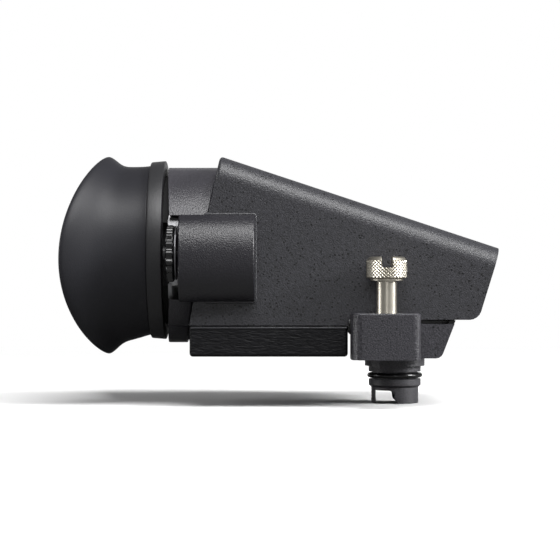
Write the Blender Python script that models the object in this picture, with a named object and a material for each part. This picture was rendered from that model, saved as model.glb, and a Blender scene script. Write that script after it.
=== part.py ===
# Electronic viewfinder with a tilting wedge housing, a dioptre wheel on its near side,
# a round rubber eyecup and a foot that two captive thumbscrews hold down on its plug.
# Metres. +X points to the front, +Z up, and the near side is -Y. The origin is on the
# plug's axis, in the plane of the foot's underside.

import math

import bmesh
import bpy
from mathutils import Matrix, Vector

MM = 0.001

# Clearances
GAP = 0.3 * MM
RUN = 0.25 * MM
OVERRUN = 1.0 * MM

# Wedge casing, seen from the side
CASING_HALF_WIDTH = 27.0 * MM
CASING_WALL = 2.0 * MM
CASING_SEAM_Z = 10.0 * MM
CASING_FLOOR_Z = 11.75 * MM
CASING_REAR_BOTTOM_X = -64.4 * MM
CASING_REAR_TOP_X = -55.1 * MM
CASING_TOP_Z = 62.05 * MM
CASING_NOSE_TOP_X = 30.6 * MM
CASING_NOSE_TOP_Z = 33.7 * MM
CASING_NOSE_BOTTOM_X = 23.8 * MM
CASING_NOSE_RADIUS = 2.6 * MM
CASING_ROOF_FILLET = 8.0 * MM
CASING_STEP_X = -15.7 * MM
DECK_REAR_X = -44.0 * MM

# Bottom cover, a shallow tray below the rear of the casing
COVER_REAR_X = -64.3 * MM
COVER_FRONT_X = -16.0 * MM
COVER_BOTTOM_Z = 0.5 * MM
COVER_WALL = 1.6 * MM
COVER_RADIUS = 1.0 * MM
COVER_SCREW_INSET = 5.0 * MM

# Optical axis, barrel and eyepiece tube
AXIS_Z = 33.45 * MM
TUBE_PROUD = 0.9 * MM
TUBE_RADIUS = CASING_HALF_WIDTH + TUBE_PROUD
TUBE_CENTRE_Z = 31.9 * MM
TUBE_WALL = 1.8 * MM
TUBE_REAR_X = -72.4 * MM
TUBE_INSIDE_LENGTH = 16.0 * MM
TUBE_TO_HEAD = 4.4 * MM
BARREL_HEAD_RADIUS = TUBE_RADIUS - TUBE_TO_HEAD
BARREL_HEAD_STEP = 3.9 * MM
BARREL_RADIUS = BARREL_HEAD_RADIUS - BARREL_HEAD_STEP
BARREL_WALL = 1.8 * MM
BARREL_BORE = BARREL_RADIUS - BARREL_WALL
BARREL_REAR_X = -77.2 * MM
BARREL_HEAD_LENGTH = 11.2 * MM
BARREL_LENGTH = 27.0 * MM
WINDOW_INSET = 0.7 * MM
WINDOW_THICKNESS = 1.5 * MM
RETAINER_LENGTH = 1.2 * MM
RETAINER_WALL = 2.4 * MM

# Eyecup and the ring it is moulded on
RING_PROUD = 0.6 * MM
RING_RADIUS = TUBE_RADIUS + RING_PROUD
RING_LENGTH = 4.7 * MM
RING_REAR_X = -77.5 * MM
CUP_WAIST_INSET = 1.8 * MM
CUP_WAIST_RADIUS = RING_RADIUS - CUP_WAIST_INSET
CUP_FLARE = 4.5 * MM
CUP_FLARE_RADIUS = CUP_WAIST_RADIUS + CUP_FLARE
CUP_WALL = 1.5 * MM
CUP_LIP_WALL = 1.1 * MM
CUP_LENGTH_TOP = 13.9 * MM
CUP_SADDLE = 12.4 * MM
CUP_DROP = 1.4 * MM
CUP_TIP_DROP = 3.15 * MM
CUP_THROAT_INSET = 4.5 * MM
CUP_THROAT_RADIUS = BARREL_HEAD_RADIUS - CUP_THROAT_INSET
CUP_FLOOR = 1.8 * MM

# Lens group on its carriage
CARRIAGE_RUN = 0.4 * MM
CARRIAGE_RADIUS = BARREL_BORE - CARRIAGE_RUN
CARRIAGE_WALL = 1.8 * MM
CARRIAGE_BORE = CARRIAGE_RADIUS - CARRIAGE_WALL
CARRIAGE_REAR_X = -71.0 * MM
CARRIAGE_TRAVEL = 2.0 * MM
ARM_THICKNESS = 2.0 * MM
ARM_HALF_HEIGHT = 2.4 * MM
LENS_RADIUS = CARRIAGE_BORE - GAP
LENS_EDGE = 1.4 * MM
LENS_BULGES = (1.6 * MM, 1.3 * MM, 0.9 * MM)
LENS_PITCH = 5.4 * MM
CARRIAGE_ENDS = 6.6 * MM
CARRIAGE_FRONT_X = CARRIAGE_REAR_X + 2 * LENS_PITCH + CARRIAGE_ENDS

# Dioptre wheel, lead screw and their housing on the near side
WHEEL_STAND = 2.0 * MM
WHEEL_Y = -(CASING_HALF_WIDTH + WHEEL_STAND)
WHEEL_Z = 31.9 * MM
WHEEL_RADIUS = 8.7 * MM
WHEEL_LOBE_DEPTH = 0.8 * MM
WHEEL_LOBES = 18
WHEEL_REAR_X = -71.1 * MM
WHEEL_THICKNESS = 2.4 * MM
WHEEL_WASHER_RADIUS = 7.9 * MM
WHEEL_WASHER_THICKNESS = 0.4 * MM
LEAD_RADIUS = 1.0 * MM
LEAD_HEAD_RADIUS = 2.2 * MM
LEAD_HEAD_LENGTH = 0.7 * MM
BULGE_REAR_X = -67.4 * MM
BULGE_FRONT_X = -44.4 * MM
BULGE_CENTRE_Z = 30.5 * MM
BULGE_HALF_HEIGHT = 13.3 * MM
BULGE_DEPTH = 9.5 * MM
BULGE_WALL = 1.5 * MM
BULGE_EDGE = 0.6 * MM
BEARING_THICKNESS = 2.0 * MM
BEARING_HALF_HEIGHT = 3.5 * MM
NOTCH_BOTTOM_Z = 17.9 * MM
NOTCH_TOP_Z = 43.7 * MM

# Foot: a middle block with a slanted tongue in front and an ear at each side
FOOT_TOP_Z = 10.5 * MM
FOOT_REAR_X = -12.6 * MM
FOOT_BROW_X = -14.6 * MM
FOOT_BROW_Z = 6.0 * MM
FOOT_FRONT_TOP_X = 16.5 * MM
FOOT_FRONT_BOTTOM_X = 12.4 * MM
FOOT_FRONT_RADIUS = 1.5 * MM
EAR_REAR_X = -15.3 * MM
EAR_FAR_REAR_X = -11.4 * MM
EAR_FRONT_X = 5.4 * MM
EAR_TOP_Z = 13.9 * MM
EAR_CLEARANCE = 0.5 * MM
EAR_WIDTH = 13.0 * MM
EAR_RADIUS = 1.5 * MM
EAR_EDGE = 0.4 * MM

# Tilt hinge
PIVOT_X = 18.8 * MM
PIVOT_Z = 14.6 * MM
KNUCKLE_RADIUS = 2.5 * MM
SHAFT_RADIUS = 1.3 * MM
SHAFT_HEAD_RADIUS = 2.2 * MM
SHAFT_HEAD_LENGTH = 1.0 * MM
LUG_INNER_Y = 14.0 * MM
LUG_OUTER_Y = 18.0 * MM
FRICTION_WASHER = 0.4 * MM
KNUCKLE_LENGTH = 4.0 * MM
YOKE_INSET = 5.0 * MM
YOKE_HALF_WIDTH = CASING_HALF_WIDTH - YOKE_INSET
YOKE_REAR_X = -10.0 * MM
YOKE_RECESS_FRONT_X = 13.0 * MM
YOKE_FRONT_X = 16.9 * MM
YOKE_THICKNESS = 2.1 * MM
LUG_REAR_X = 12.2 * MM
BRACKET_THICKNESS = 1.3 * MM
BRACKET_REAR_X = 3.0 * MM
HINGE_SLOT_REAR_X = 11.3 * MM
HINGE_SLOT_FRONT_X = 21.9 * MM

# Plug below the foot
PLUG_FLANGE_RADIUS = 9.54 * MM
PLUG_FLANGE_BOTTOM_Z = -3.4 * MM
PLUG_NECK_RADIUS = 8.34 * MM
PLUG_NECK_BOTTOM_Z = -5.2 * MM
PLUG_GROOVE_RADIUS = 6.9 * MM
PLUG_RIM_TOP_Z = -7.6 * MM
PLUG_RIM_RADIUS = 8.32 * MM
PLUG_RIM_BOTTOM_Z = -9.5 * MM
PLUG_SKIRT_RADIUS = 7.5 * MM
PLUG_SKIRT_TOP_Z = -10.2 * MM
PLUG_BOTTOM_Z = -15.2 * MM
PLUG_SKIRT_WALL = 1.8 * MM
PLUG_BORE_TOP_Z = 7.4 * MM
PLUG_BOSS_RADIUS = 6.9 * MM
PLUG_CUT_TOP_Z = -11.1 * MM
PLUG_PRONG_X = -5.7 * MM
PLUG_PRONG_TIP_X = -6.1 * MM
PLUG_CUT_TOP_X = -1.4 * MM
PLUG_CUT_BOTTOM_X = 1.9 * MM
NUT_RADIUS = 8.7 * MM
NUT_BOTTOM_Z = 4.8 * MM
NUT_HEIGHT = 2.2 * MM
NUT_SIDES = 8
ORING_RADIUS = 0.78 * MM
ORING_CENTRE_RADIUS = 8.02 * MM
INSULATOR_FLOOR_Z = -9.0 * MM
INSULATOR_HEIGHT = 6.0 * MM
CONTACT_ROWS = 2
CONTACT_COLUMNS = 3
CONTACT_PITCH = 3.0 * MM
CONTACT_RADIUS = 0.45 * MM
CONTACT_BOARD = 1.0 * MM
CONTACT_REACH = 1.8 * MM

# Captive thumbscrews, one through each ear, shown raised
SCREW_X = -4.65 * MM
SCREW_HEAD_RADIUS = 6.2 * MM
SCREW_HEAD_TOP_Z = 30.9 * MM
SCREW_HEAD_BOTTOM_Z = 24.6 * MM
SCREW_HEAD_CHAMFER = 0.6 * MM
SCREW_SLOT_WIDTH = 2.8 * MM
SCREW_SLOT_DEPTH = 3.3 * MM
SCREW_COLLAR_RADIUS = 4.97 * MM
SCREW_COLLAR_BOTTOM_Z = 23.6 * MM
SCREW_SHANK_RADIUS = 3.1 * MM
SCREW_THREAD_RADIUS = 2.0 * MM
SCREW_TIP_Z = 0.9 * MM
SCREW_TIP_CHAMFER = 0.5 * MM
BUSH_RADIUS = 5.3 * MM
BUSH_THICKNESS = 1.0 * MM
EAR_BORE = 4.9 * MM
EAR_SHOULDER_Z = 1.2 * MM
SCREW_WASHER_RADIUS = 4.5 * MM
SCREW_WASHER_THICKNESS = 0.7 * MM
SCREW_CLIP_RADIUS = 3.0 * MM
SCREW_CLIP_THICKNESS = 0.5 * MM
SPRING_WIRE = 0.18 * MM
SPRING_TOP_RADIUS = 4.1 * MM
SPRING_BOTTOM_RADIUS = 2.75 * MM
SPRING_TURNS = 3

# Display, boards, flexes and small screws
DISPLAY_X = -28.0 * MM
DISPLAY_HALF_WIDTH = 12.0 * MM
DISPLAY_HALF_HEIGHT = 9.0 * MM
DISPLAY_THICKNESS = 1.8 * MM
DISPLAY_BORDER = 1.2 * MM
FRAME_THICKNESS = 2.2 * MM
FRAME_HALF_WIDTH = 18.0 * MM
FRAME_TOP_Z = 46.0 * MM
FRAME_FOOT_LENGTH = 9.0 * MM
DRIVER_THICKNESS = 1.0 * MM
DRIVER_HALF_WIDTH = 14.0 * MM
DRIVER_BOTTOM_Z = 22.0 * MM
DRIVER_TOP_Z = 45.0 * MM
BOARD_REAR_X = -14.0 * MM
BOARD_FRONT_X = 11.0 * MM
BOARD_INSET = 4.5 * MM
BOARD_HALF_WIDTH = CASING_HALF_WIDTH - BOARD_INSET
BOARD_Z = 18.2 * MM
BOARD_THICKNESS = 1.2 * MM
BOARD_POST_RADIUS = 2.2 * MM
BOARD_POST_INSET = 2.6 * MM
CHIP_SIZES = ((9.0 * MM, 9.0 * MM, 1.4 * MM), (5.0 * MM, 7.0 * MM, 1.0 * MM))
FLEX_THICKNESS = 0.3 * MM
FLEX_HALF_WIDTH = 5.0 * MM
SMALL_SCREW_RADIUS = 1.0 * MM
SMALL_HEAD_RADIUS = 2.0 * MM
SMALL_HEAD_HEIGHT = 0.9 * MM
SMALL_SCREW_LENGTH = 4.4 * MM
COVER_SCREW_LENGTH = 11.6 * MM
SMALL_RECESS_RADIUS = 0.9 * MM
SMALL_RECESS_DEPTH = 0.5 * MM

# Facets around round pieces
LARGE_STEPS = 40
MEDIUM_STEPS = 24
SMALL_STEPS = 16
TINY_STEPS = 8

COLOURS = {
    "textured_paint": ((0.055, 0.055, 0.060), 0.55, 0.0),
    "dark_cover": ((0.022, 0.022, 0.024), 0.6, 0.0),
    "black_plastic": ((0.012, 0.012, 0.013), 0.4, 0.0),
    "black_anodised": ((0.025, 0.025, 0.028), 0.35, 0.6),
    "rubber": ((0.028, 0.028, 0.030), 0.65, 0.0),
    "nickel": ((0.62, 0.58, 0.50), 0.32, 1.0),
    "steel": ((0.45, 0.45, 0.46), 0.3, 1.0),
    "gold": ((0.8, 0.6, 0.25), 0.25, 1.0),
    "glass": ((0.85, 0.9, 0.95), 0.05, 0.0),
    "board": ((0.02, 0.09, 0.05), 0.5, 0.0),
    "screen": ((0.01, 0.01, 0.015), 0.1, 0.0),
    "flex": ((0.35, 0.2, 0.05), 0.4, 0.0),
}


def clear_scene():
    for old in list(bpy.data.objects):
        bpy.data.objects.remove(old)


def material(name):
    """The Principled material of this name, made when it is first asked for."""
    found = bpy.data.materials.get(name)
    if found:
        return found
    colour, roughness, metallic = COLOURS[name]
    made = bpy.data.materials.new(name)
    made.use_nodes = True
    shader = made.node_tree.nodes["Principled BSDF"]
    shader.inputs["Base Color"].default_value = (*colour, 1.0)
    shader.inputs["Roughness"].default_value = roughness
    shader.inputs["Metallic"].default_value = metallic
    return made


def place(name, bm, paint, origin=(0, 0, 0)):
    """Turns a bmesh in world space into an object whose origin is at the given point."""
    bmesh.ops.translate(bm, verts=bm.verts, vec=-Vector(origin))
    bmesh.ops.recalc_face_normals(bm, faces=bm.faces)
    mesh = bpy.data.meshes.new(name)
    bm.to_mesh(mesh)
    bm.free()
    made = bpy.data.objects.new(name, mesh)
    made.location = origin
    bpy.context.scene.collection.objects.link(made)
    mesh.materials.append(material(paint))
    return made


def smooth(piece, degrees=30):
    piece.data.shade_smooth()
    piece.data.set_sharp_from_angle(angle=math.radians(degrees))
    return piece


def as_cutter(piece):
    piece.hide_render = True
    piece.display_type = "WIRE"
    return piece


def boolean(piece, cutter, operation="DIFFERENCE"):
    step = piece.modifiers.new(cutter.name, "BOOLEAN")
    step.operation = operation
    step.solver = "EXACT"
    step.object = as_cutter(cutter)
    return piece


def cut(piece, *cutters):
    for cutter in cutters:
        boolean(piece, cutter)
    return piece


def join(piece, *others):
    for other in others:
        boolean(piece, other, "UNION")
    return piece


def box(low, high):
    """A bmesh box between two corners."""
    bm = bmesh.new()
    bmesh.ops.create_cube(bm, size=1.0)
    size = Vector(high) - Vector(low)
    bmesh.ops.scale(bm, verts=bm.verts, vec=size)
    bmesh.ops.translate(bm, verts=bm.verts, vec=Vector(low) + size / 2)
    return bm


def prism(outline, low, high, along="Y"):
    """Extrudes an outline. Along Y it is (x, z), along X it is (y, z), along Z it is (x, y)."""
    def corner(first, second):
        return {
            "X": (low, first, second),
            "Y": (first, low, second),
            "Z": (first, second, low),
        }[along]

    bm = bmesh.new()
    start = bm.faces.new([bm.verts.new(corner(*point)) for point in outline])
    step = Vector({"X": (1, 0, 0), "Y": (0, 1, 0), "Z": (0, 0, 1)}[along]) * (high - low)
    made = bmesh.ops.extrude_face_region(bm, geom=[start], use_keep_orig=True)
    moved = [part for part in made["geom"] if isinstance(part, bmesh.types.BMVert)]
    bmesh.ops.translate(bm, verts=moved, vec=step)
    bmesh.ops.recalc_face_normals(bm, faces=bm.faces)
    return bm


def round_edges(bm, edges, width, segments=3):
    bmesh.ops.bevel(
        bm, geom=edges, offset=width, segments=segments, profile=0.5,
        affect="EDGES", clamp_overlap=True, material=-1,
    )
    return bm


def edges_where(bm, test):
    """The edges for which test(first point, second point) holds."""
    return [edge for edge in bm.edges if test(edge.verts[0].co, edge.verts[1].co)]


def turned(profile, centre=(0, 0, 0), along="Z", steps=MEDIUM_STEPS):
    """Spins a closed profile of (radius, height) points about an axis through centre."""
    bm = bmesh.new()
    points = [bm.verts.new((radius, 0, height)) for radius, height in profile]
    ends = points[1:] + points[:1]
    rims = [bm.edges.new((a, b)) for a, b in zip(points, ends) if max(a.co.x, b.co.x) > 0]
    bmesh.ops.spin(
        bm, geom=points + rims, cent=(0, 0, 0), axis=(0, 0, 1),
        angle=math.tau, steps=steps, use_merge=True,
    )
    bmesh.ops.remove_doubles(bm, verts=bm.verts, dist=0.001 * MM)
    if along == "X":
        bmesh.ops.transform(bm, verts=bm.verts, matrix=Matrix.Rotation(math.pi / 2, 4, "Y"))
    if along == "Y":
        bmesh.ops.transform(bm, verts=bm.verts, matrix=Matrix.Rotation(-math.pi / 2, 4, "X"))
    bmesh.ops.translate(bm, verts=bm.verts, vec=Vector(centre))
    bmesh.ops.recalc_face_normals(bm, faces=bm.faces)
    return bm


def rod(radius, low, high, centre=(0, 0), along="Z", steps=MEDIUM_STEPS):
    """A round rod from low to high along one axis, through centre on the other two axes."""
    spot = {
        "X": (0, centre[0], centre[1]),
        "Y": (centre[0], 0, centre[1]),
        "Z": (centre[0], centre[1], 0),
    }[along]
    return turned([(0, low), (radius, low), (radius, high), (0, high)], spot, along, steps)


def ring(outer, inner, low, high, centre=(0, 0), along="Z", steps=MEDIUM_STEPS):
    spot = {
        "X": (0, centre[0], centre[1]),
        "Y": (centre[0], 0, centre[1]),
        "Z": (centre[0], centre[1], 0),
    }[along]
    profile = [(inner, low), (outer, low), (outer, high), (inner, high)]
    return turned(profile, spot, along, steps)


def cutter(name, bm):
    return as_cutter(place("cut_" + name, bm, "steel"))


def casing_roof_z(x):
    slope = (CASING_NOSE_TOP_Z - CASING_TOP_Z) / (CASING_NOSE_TOP_X - CASING_REAR_TOP_X)
    return CASING_TOP_Z + slope * (x - CASING_REAR_TOP_X)


def casing_rear_x(z):
    share = (z - CASING_SEAM_Z) / (CASING_TOP_Z - CASING_SEAM_Z)
    return CASING_REAR_BOTTOM_X + share * (CASING_REAR_TOP_X - CASING_REAR_BOTTOM_X)


def casing_nose_x(z):
    share = (z - CASING_FLOOR_Z) / (CASING_NOSE_TOP_Z - CASING_FLOOR_Z)
    return CASING_NOSE_BOTTOM_X + share * (CASING_NOSE_TOP_X - CASING_NOSE_BOTTOM_X)


def casing_outline(grow=0.0):
    """The casing's side outline, moved out by grow all round."""
    top_z = CASING_TOP_Z + grow
    seam_z = CASING_SEAM_Z - grow
    floor_z = CASING_FLOOR_Z - grow
    return [
        (casing_rear_x(seam_z) - grow, seam_z),
        (CASING_STEP_X + grow, seam_z),
        (CASING_STEP_X + grow, floor_z),
        (CASING_NOSE_BOTTOM_X + grow, floor_z),
        (CASING_NOSE_TOP_X + grow, CASING_NOSE_TOP_Z + grow),
        (casing_rear_x(top_z) - grow, top_z),
    ]


def casing_inside():
    """The hollow of the casing: open below at the rear, floored by the deck in front."""
    deck_z = CASING_FLOOR_Z + CASING_WALL
    nose_x = casing_nose_x(deck_z) - CASING_WALL
    top_x = CASING_NOSE_TOP_X - CASING_WALL
    rear_x = CASING_REAR_TOP_X + CASING_WALL
    low_z = CASING_SEAM_Z - OVERRUN
    outline = [
        (casing_rear_x(low_z) + CASING_WALL, low_z),
        (DECK_REAR_X, low_z),
        (DECK_REAR_X, deck_z),
        (nose_x, deck_z),
        (top_x, casing_roof_z(top_x) - CASING_WALL),
        (rear_x, casing_roof_z(rear_x) - CASING_WALL),
    ]
    half = CASING_HALF_WIDTH - CASING_WALL
    bm = prism(outline, -half, half)
    low, high = outline[4], outline[5]
    roof = edges_where(bm, lambda a, b: is_roof_edge(a, b, low, high))
    return round_edges(bm, roof, CASING_ROOF_FILLET - CASING_WALL, 4)


def is_roof_edge(a, b, low, high):
    """An edge that runs from one roof corner to the other, on one side of the wedge."""
    ends = sorted((a.x, b.x))
    corners = sorted((low[0], high[0]))
    near = 0.01 * MM
    same_side = abs(a.y - b.y) < near
    return same_side and abs(ends[0] - corners[0]) < near and abs(ends[1] - corners[1]) < near


def is_cross_edge(a, b, corner):
    """An edge along Y through this (x, z) corner."""
    near = 0.01 * MM
    return all(abs(p.x - corner[0]) < near and abs(p.z - corner[1]) < near for p in (a, b))


def board_posts():
    """The places of the four posts that carry the main board."""
    for x in (BOARD_REAR_X + BOARD_POST_INSET, BOARD_FRONT_X - BOARD_POST_INSET):
        for y in (BOARD_POST_INSET - BOARD_HALF_WIDTH, BOARD_HALF_WIDTH - BOARD_POST_INSET):
            yield x, y


def cover_screw_places():
    for x in (DECK_REAR_X + COVER_SCREW_INSET, COVER_FRONT_X - COVER_SCREW_INSET):
        for y in (COVER_SCREW_INSET - CASING_HALF_WIDTH, CASING_HALF_WIDTH - COVER_SCREW_INSET):
            yield x, y


def arm_window(grow, low_y, high_y, name):
    """The way that the carriage's arm needs through a wall, at both ends of its travel."""
    return cutter(name, box(
        (CARRIAGE_FRONT_X - ARM_THICKNESS - CARRIAGE_TRAVEL - grow, low_y,
         WHEEL_Z - ARM_HALF_HEIGHT - grow),
        (CARRIAGE_FRONT_X + CARRIAGE_TRAVEL + grow, high_y, WHEEL_Z + ARM_HALF_HEIGHT + grow),
    ))


def make_casing():
    outline = casing_outline()
    bm = prism(outline, -CASING_HALF_WIDTH, CASING_HALF_WIDTH)
    nose, roof_rear, sole = outline[4], outline[5], outline[3]
    roof = edges_where(bm, lambda a, b: is_roof_edge(a, b, nose, roof_rear))
    round_edges(bm, roof, CASING_ROOF_FILLET, 6)
    corner = edges_where(bm, lambda a, b: is_cross_edge(a, b, sole))
    round_edges(bm, corner, CASING_NOSE_RADIUS, 4)
    casing = place("upper_casing", bm, "textured_paint")
    cut(casing, cutter("casing_inside", casing_inside()))
    barrel_way = rod(
        BARREL_RADIUS + GAP, BARREL_REAR_X, BARREL_REAR_X + BARREL_LENGTH,
        (0, AXIS_Z), "X", LARGE_STEPS,
    )
    side = -CASING_HALF_WIDTH
    hinge_reach = LUG_OUTER_Y + GAP + SHAFT_HEAD_LENGTH + GAP + OVERRUN
    hinge_slot = box(
        (HINGE_SLOT_REAR_X, -hinge_reach, CASING_FLOOR_Z - OVERRUN),
        (HINGE_SLOT_FRONT_X, hinge_reach, CASING_FLOOR_Z + CASING_WALL + OVERRUN),
    )
    cut(casing, cutter("barrel_way", barrel_way), cutter("hinge_slot", hinge_slot))
    cut(casing, arm_window(GAP, side - OVERRUN, side + CASING_WALL + OVERRUN, "casing_window"))
    deck_z = CASING_FLOOR_Z + CASING_WALL
    for index, (x, y) in enumerate(board_posts()):
        low = deck_z - CASING_WALL / 2
        post = rod(BOARD_POST_RADIUS, low, BOARD_Z - GAP, (x, y), "Z", TINY_STEPS)
        join(casing, cutter(f"board_post_{index}", post))
        pilot_low = deck_z + GAP
        pilot = rod(SMALL_SCREW_RADIUS + RUN, pilot_low, BOARD_Z + OVERRUN, (x, y), "Z", TINY_STEPS)
        cut(casing, cutter(f"board_pilot_{index}", pilot))
    for index, (x, y) in enumerate(cover_screw_places()):
        low = CASING_SEAM_Z - OVERRUN
        pilot = rod(SMALL_SCREW_RADIUS + RUN, low, deck_z - OVERRUN, (x, y), "Z", TINY_STEPS)
        cut(casing, cutter(f"cover_pilot_{index}", pilot))
    for name, (x, y, _) in (*bracket_screw_places(), *frame_screw_places()):
        pilot = rod(
            SMALL_SCREW_RADIUS + RUN, CASING_FLOOR_Z - OVERRUN * 2, deck_z + OVERRUN, (x, y),
            "Z", TINY_STEPS,
        )
        cut(casing, cutter("pilot_" + name, pilot))
    return smooth(casing)


def make_cover():
    low = (COVER_REAR_X, -CASING_HALF_WIDTH, COVER_BOTTOM_Z)
    high = (COVER_FRONT_X, CASING_HALF_WIDTH, CASING_SEAM_Z - GAP)
    bm = box(low, high)
    round_edges(bm, edges_where(bm, lambda a, b: a.z + b.z < 2 * high[2] - COVER_RADIUS), COVER_RADIUS)
    cover = place("bottom_cover", bm, "dark_cover")
    hollow = box(
        [value + COVER_WALL for value in low],
        (high[0] - COVER_WALL, high[1] - COVER_WALL, high[2] + OVERRUN),
    )
    cut(cover, cutter("cover_hollow", hollow))
    for index, (x, y) in enumerate(cover_screw_places()):
        boss_radius = SMALL_HEAD_RADIUS + COVER_WALL
        boss = rod(boss_radius, low[2] + COVER_WALL / 2, high[2], (x, y), "Z", SMALL_STEPS)
        join(cover, cutter(f"cover_boss_{index}", boss))
        hole = rod(SMALL_SCREW_RADIUS + RUN, low[2] - OVERRUN, high[2] + OVERRUN, (x, y), "Z", TINY_STEPS)
        sink_top = low[2] + SMALL_HEAD_HEIGHT + 2 * GAP
        sink = rod(SMALL_HEAD_RADIUS + RUN, low[2] - OVERRUN, sink_top, (x, y), "Z", SMALL_STEPS)
        cut(cover, cutter(f"cover_hole_{index}", hole), cutter(f"cover_sink_{index}", sink))
    return smooth(cover)


def make_tube():
    bm = ring(
        TUBE_RADIUS, TUBE_RADIUS - TUBE_WALL, TUBE_REAR_X, TUBE_REAR_X + TUBE_INSIDE_LENGTH,
        (0, TUBE_CENTRE_Z), "X", LARGE_STEPS,
    )
    tube = place("eyepiece_tube", bm, "textured_paint")
    reach = TUBE_RADIUS + OVERRUN
    casing_space = prism(casing_outline(GAP), -reach, reach)
    cover_space = box(
        (COVER_REAR_X - GAP, -reach, TUBE_CENTRE_Z - reach), (COVER_FRONT_X, reach, CASING_SEAM_Z)
    )
    notch = box(
        (TUBE_REAR_X - OVERRUN, -reach, NOTCH_BOTTOM_Z),
        (BULGE_REAR_X, -BARREL_BORE, NOTCH_TOP_Z),
    )
    half_slot = BEARING_HALF_HEIGHT
    lead_slot = box(
        (BULGE_REAR_X - OVERRUN, -reach, WHEEL_Z - half_slot),
        (TUBE_REAR_X + TUBE_INSIDE_LENGTH, -BARREL_BORE, WHEEL_Z + half_slot),
    )
    cut(
        tube, cutter("tube_casing", casing_space), cutter("tube_cover", cover_space),
        cutter("tube_notch", notch), cutter("tube_slot", lead_slot),
    )
    return smooth(tube)


def make_barrel():
    head = BARREL_HEAD_LENGTH
    profile = [
        (BARREL_BORE, 0), (BARREL_HEAD_RADIUS, 0), (BARREL_HEAD_RADIUS, head),
        (BARREL_RADIUS, head), (BARREL_RADIUS, BARREL_LENGTH), (BARREL_BORE, BARREL_LENGTH),
    ]
    barrel = place(
        "inner_barrel", turned(profile, (BARREL_REAR_X, 0, AXIS_Z), "X", LARGE_STEPS),
        "black_anodised",
    )
    wheel_reach = WHEEL_RADIUS + OVERRUN
    pocket = box(
        (WHEEL_REAR_X - LEAD_HEAD_LENGTH - OVERRUN, -BARREL_HEAD_RADIUS - OVERRUN,
         WHEEL_Z - wheel_reach),
        (BARREL_REAR_X + head + OVERRUN, WHEEL_Y + WHEEL_RADIUS + OVERRUN, WHEEL_Z + wheel_reach),
    )
    arm_way = box(
        (CARRIAGE_FRONT_X - ARM_THICKNESS - CARRIAGE_TRAVEL - GAP, -BARREL_RADIUS - OVERRUN,
         WHEEL_Z - ARM_HALF_HEIGHT - GAP),
        (BARREL_REAR_X + BARREL_LENGTH + OVERRUN, -CARRIAGE_BORE / 2,
         WHEEL_Z + ARM_HALF_HEIGHT + GAP),
    )
    cut(barrel, cutter("wheel_pocket", pocket), cutter("arm_way", arm_way))
    return smooth(barrel)


def bulge_outline(inset):
    """Half an ellipse in (y, z) that swells from the casing's side, drawn in by inset."""
    side = -CASING_HALF_WIDTH
    wide = BULGE_DEPTH - inset
    tall = BULGE_HALF_HEIGHT - inset
    inner = side + TUBE_WALL + OVERRUN
    points = [(inner, BULGE_CENTRE_Z + tall)]
    for step in range(SMALL_STEPS + 1):
        turn = math.pi / 2 - math.pi * step / SMALL_STEPS
        points.append((side - wide * math.cos(turn), BULGE_CENTRE_Z + tall * math.sin(turn)))
    return points + [(inner, BULGE_CENTRE_Z - tall)]


def make_diopter_housing():
    bm = prism(bulge_outline(0), BULGE_REAR_X, BULGE_FRONT_X, "X")
    side = -CASING_HALF_WIDTH
    rim = edges_where(bm, lambda a, b: abs(a.x - b.x) < GAP and min(a.y, b.y) < side - GAP)
    round_edges(bm, rim, BULGE_EDGE, 2)
    housing = place("diopter_housing", bm, "textured_paint")
    hollow = prism(
        bulge_outline(BULGE_WALL), BULGE_REAR_X + BULGE_WALL, BULGE_FRONT_X - BULGE_WALL, "X"
    )
    inner = [corner for corner in hollow.verts if corner.co.y > side + GAP]
    bmesh.ops.translate(hollow, verts=inner, vec=(0, OVERRUN, 0))
    casing_space = prism(casing_outline(GAP), side - GAP, 0)
    tube_space = rod(
        TUBE_RADIUS + GAP, TUBE_REAR_X, BULGE_FRONT_X, (0, TUBE_CENTRE_Z), "X", LARGE_STEPS
    )
    lead_hole = rod(
        LEAD_RADIUS + RUN, BULGE_REAR_X - OVERRUN, BULGE_REAR_X + BULGE_WALL + OVERRUN,
        (WHEEL_Y, WHEEL_Z), "X", SMALL_STEPS,
    )
    cut(
        housing, cutter("bulge_hollow", hollow), cutter("bulge_casing", casing_space),
        cutter("bulge_tube", tube_space), cutter("bulge_lead", lead_hole),
    )
    return smooth(housing)


def make_bearing():
    wall = BULGE_WALL + GAP
    front = CARRIAGE_FRONT_X + CARRIAGE_TRAVEL + GAP + BEARING_THICKNESS
    low = (front, -CASING_HALF_WIDTH - BULGE_DEPTH + wall + OVERRUN, WHEEL_Z - BEARING_HALF_HEIGHT)
    high = (front + BEARING_THICKNESS, -CASING_HALF_WIDTH - GAP, WHEEL_Z + BEARING_HALF_HEIGHT)
    bearing = place("lead_screw_bearing", box(low, high), "steel")
    bore = rod(
        LEAD_RADIUS + RUN / 2, low[0] - OVERRUN, high[0] + OVERRUN, (WHEEL_Y, WHEEL_Z), "X",
        SMALL_STEPS,
    )
    return cut(bearing, cutter("bearing_bore", bore))


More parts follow.
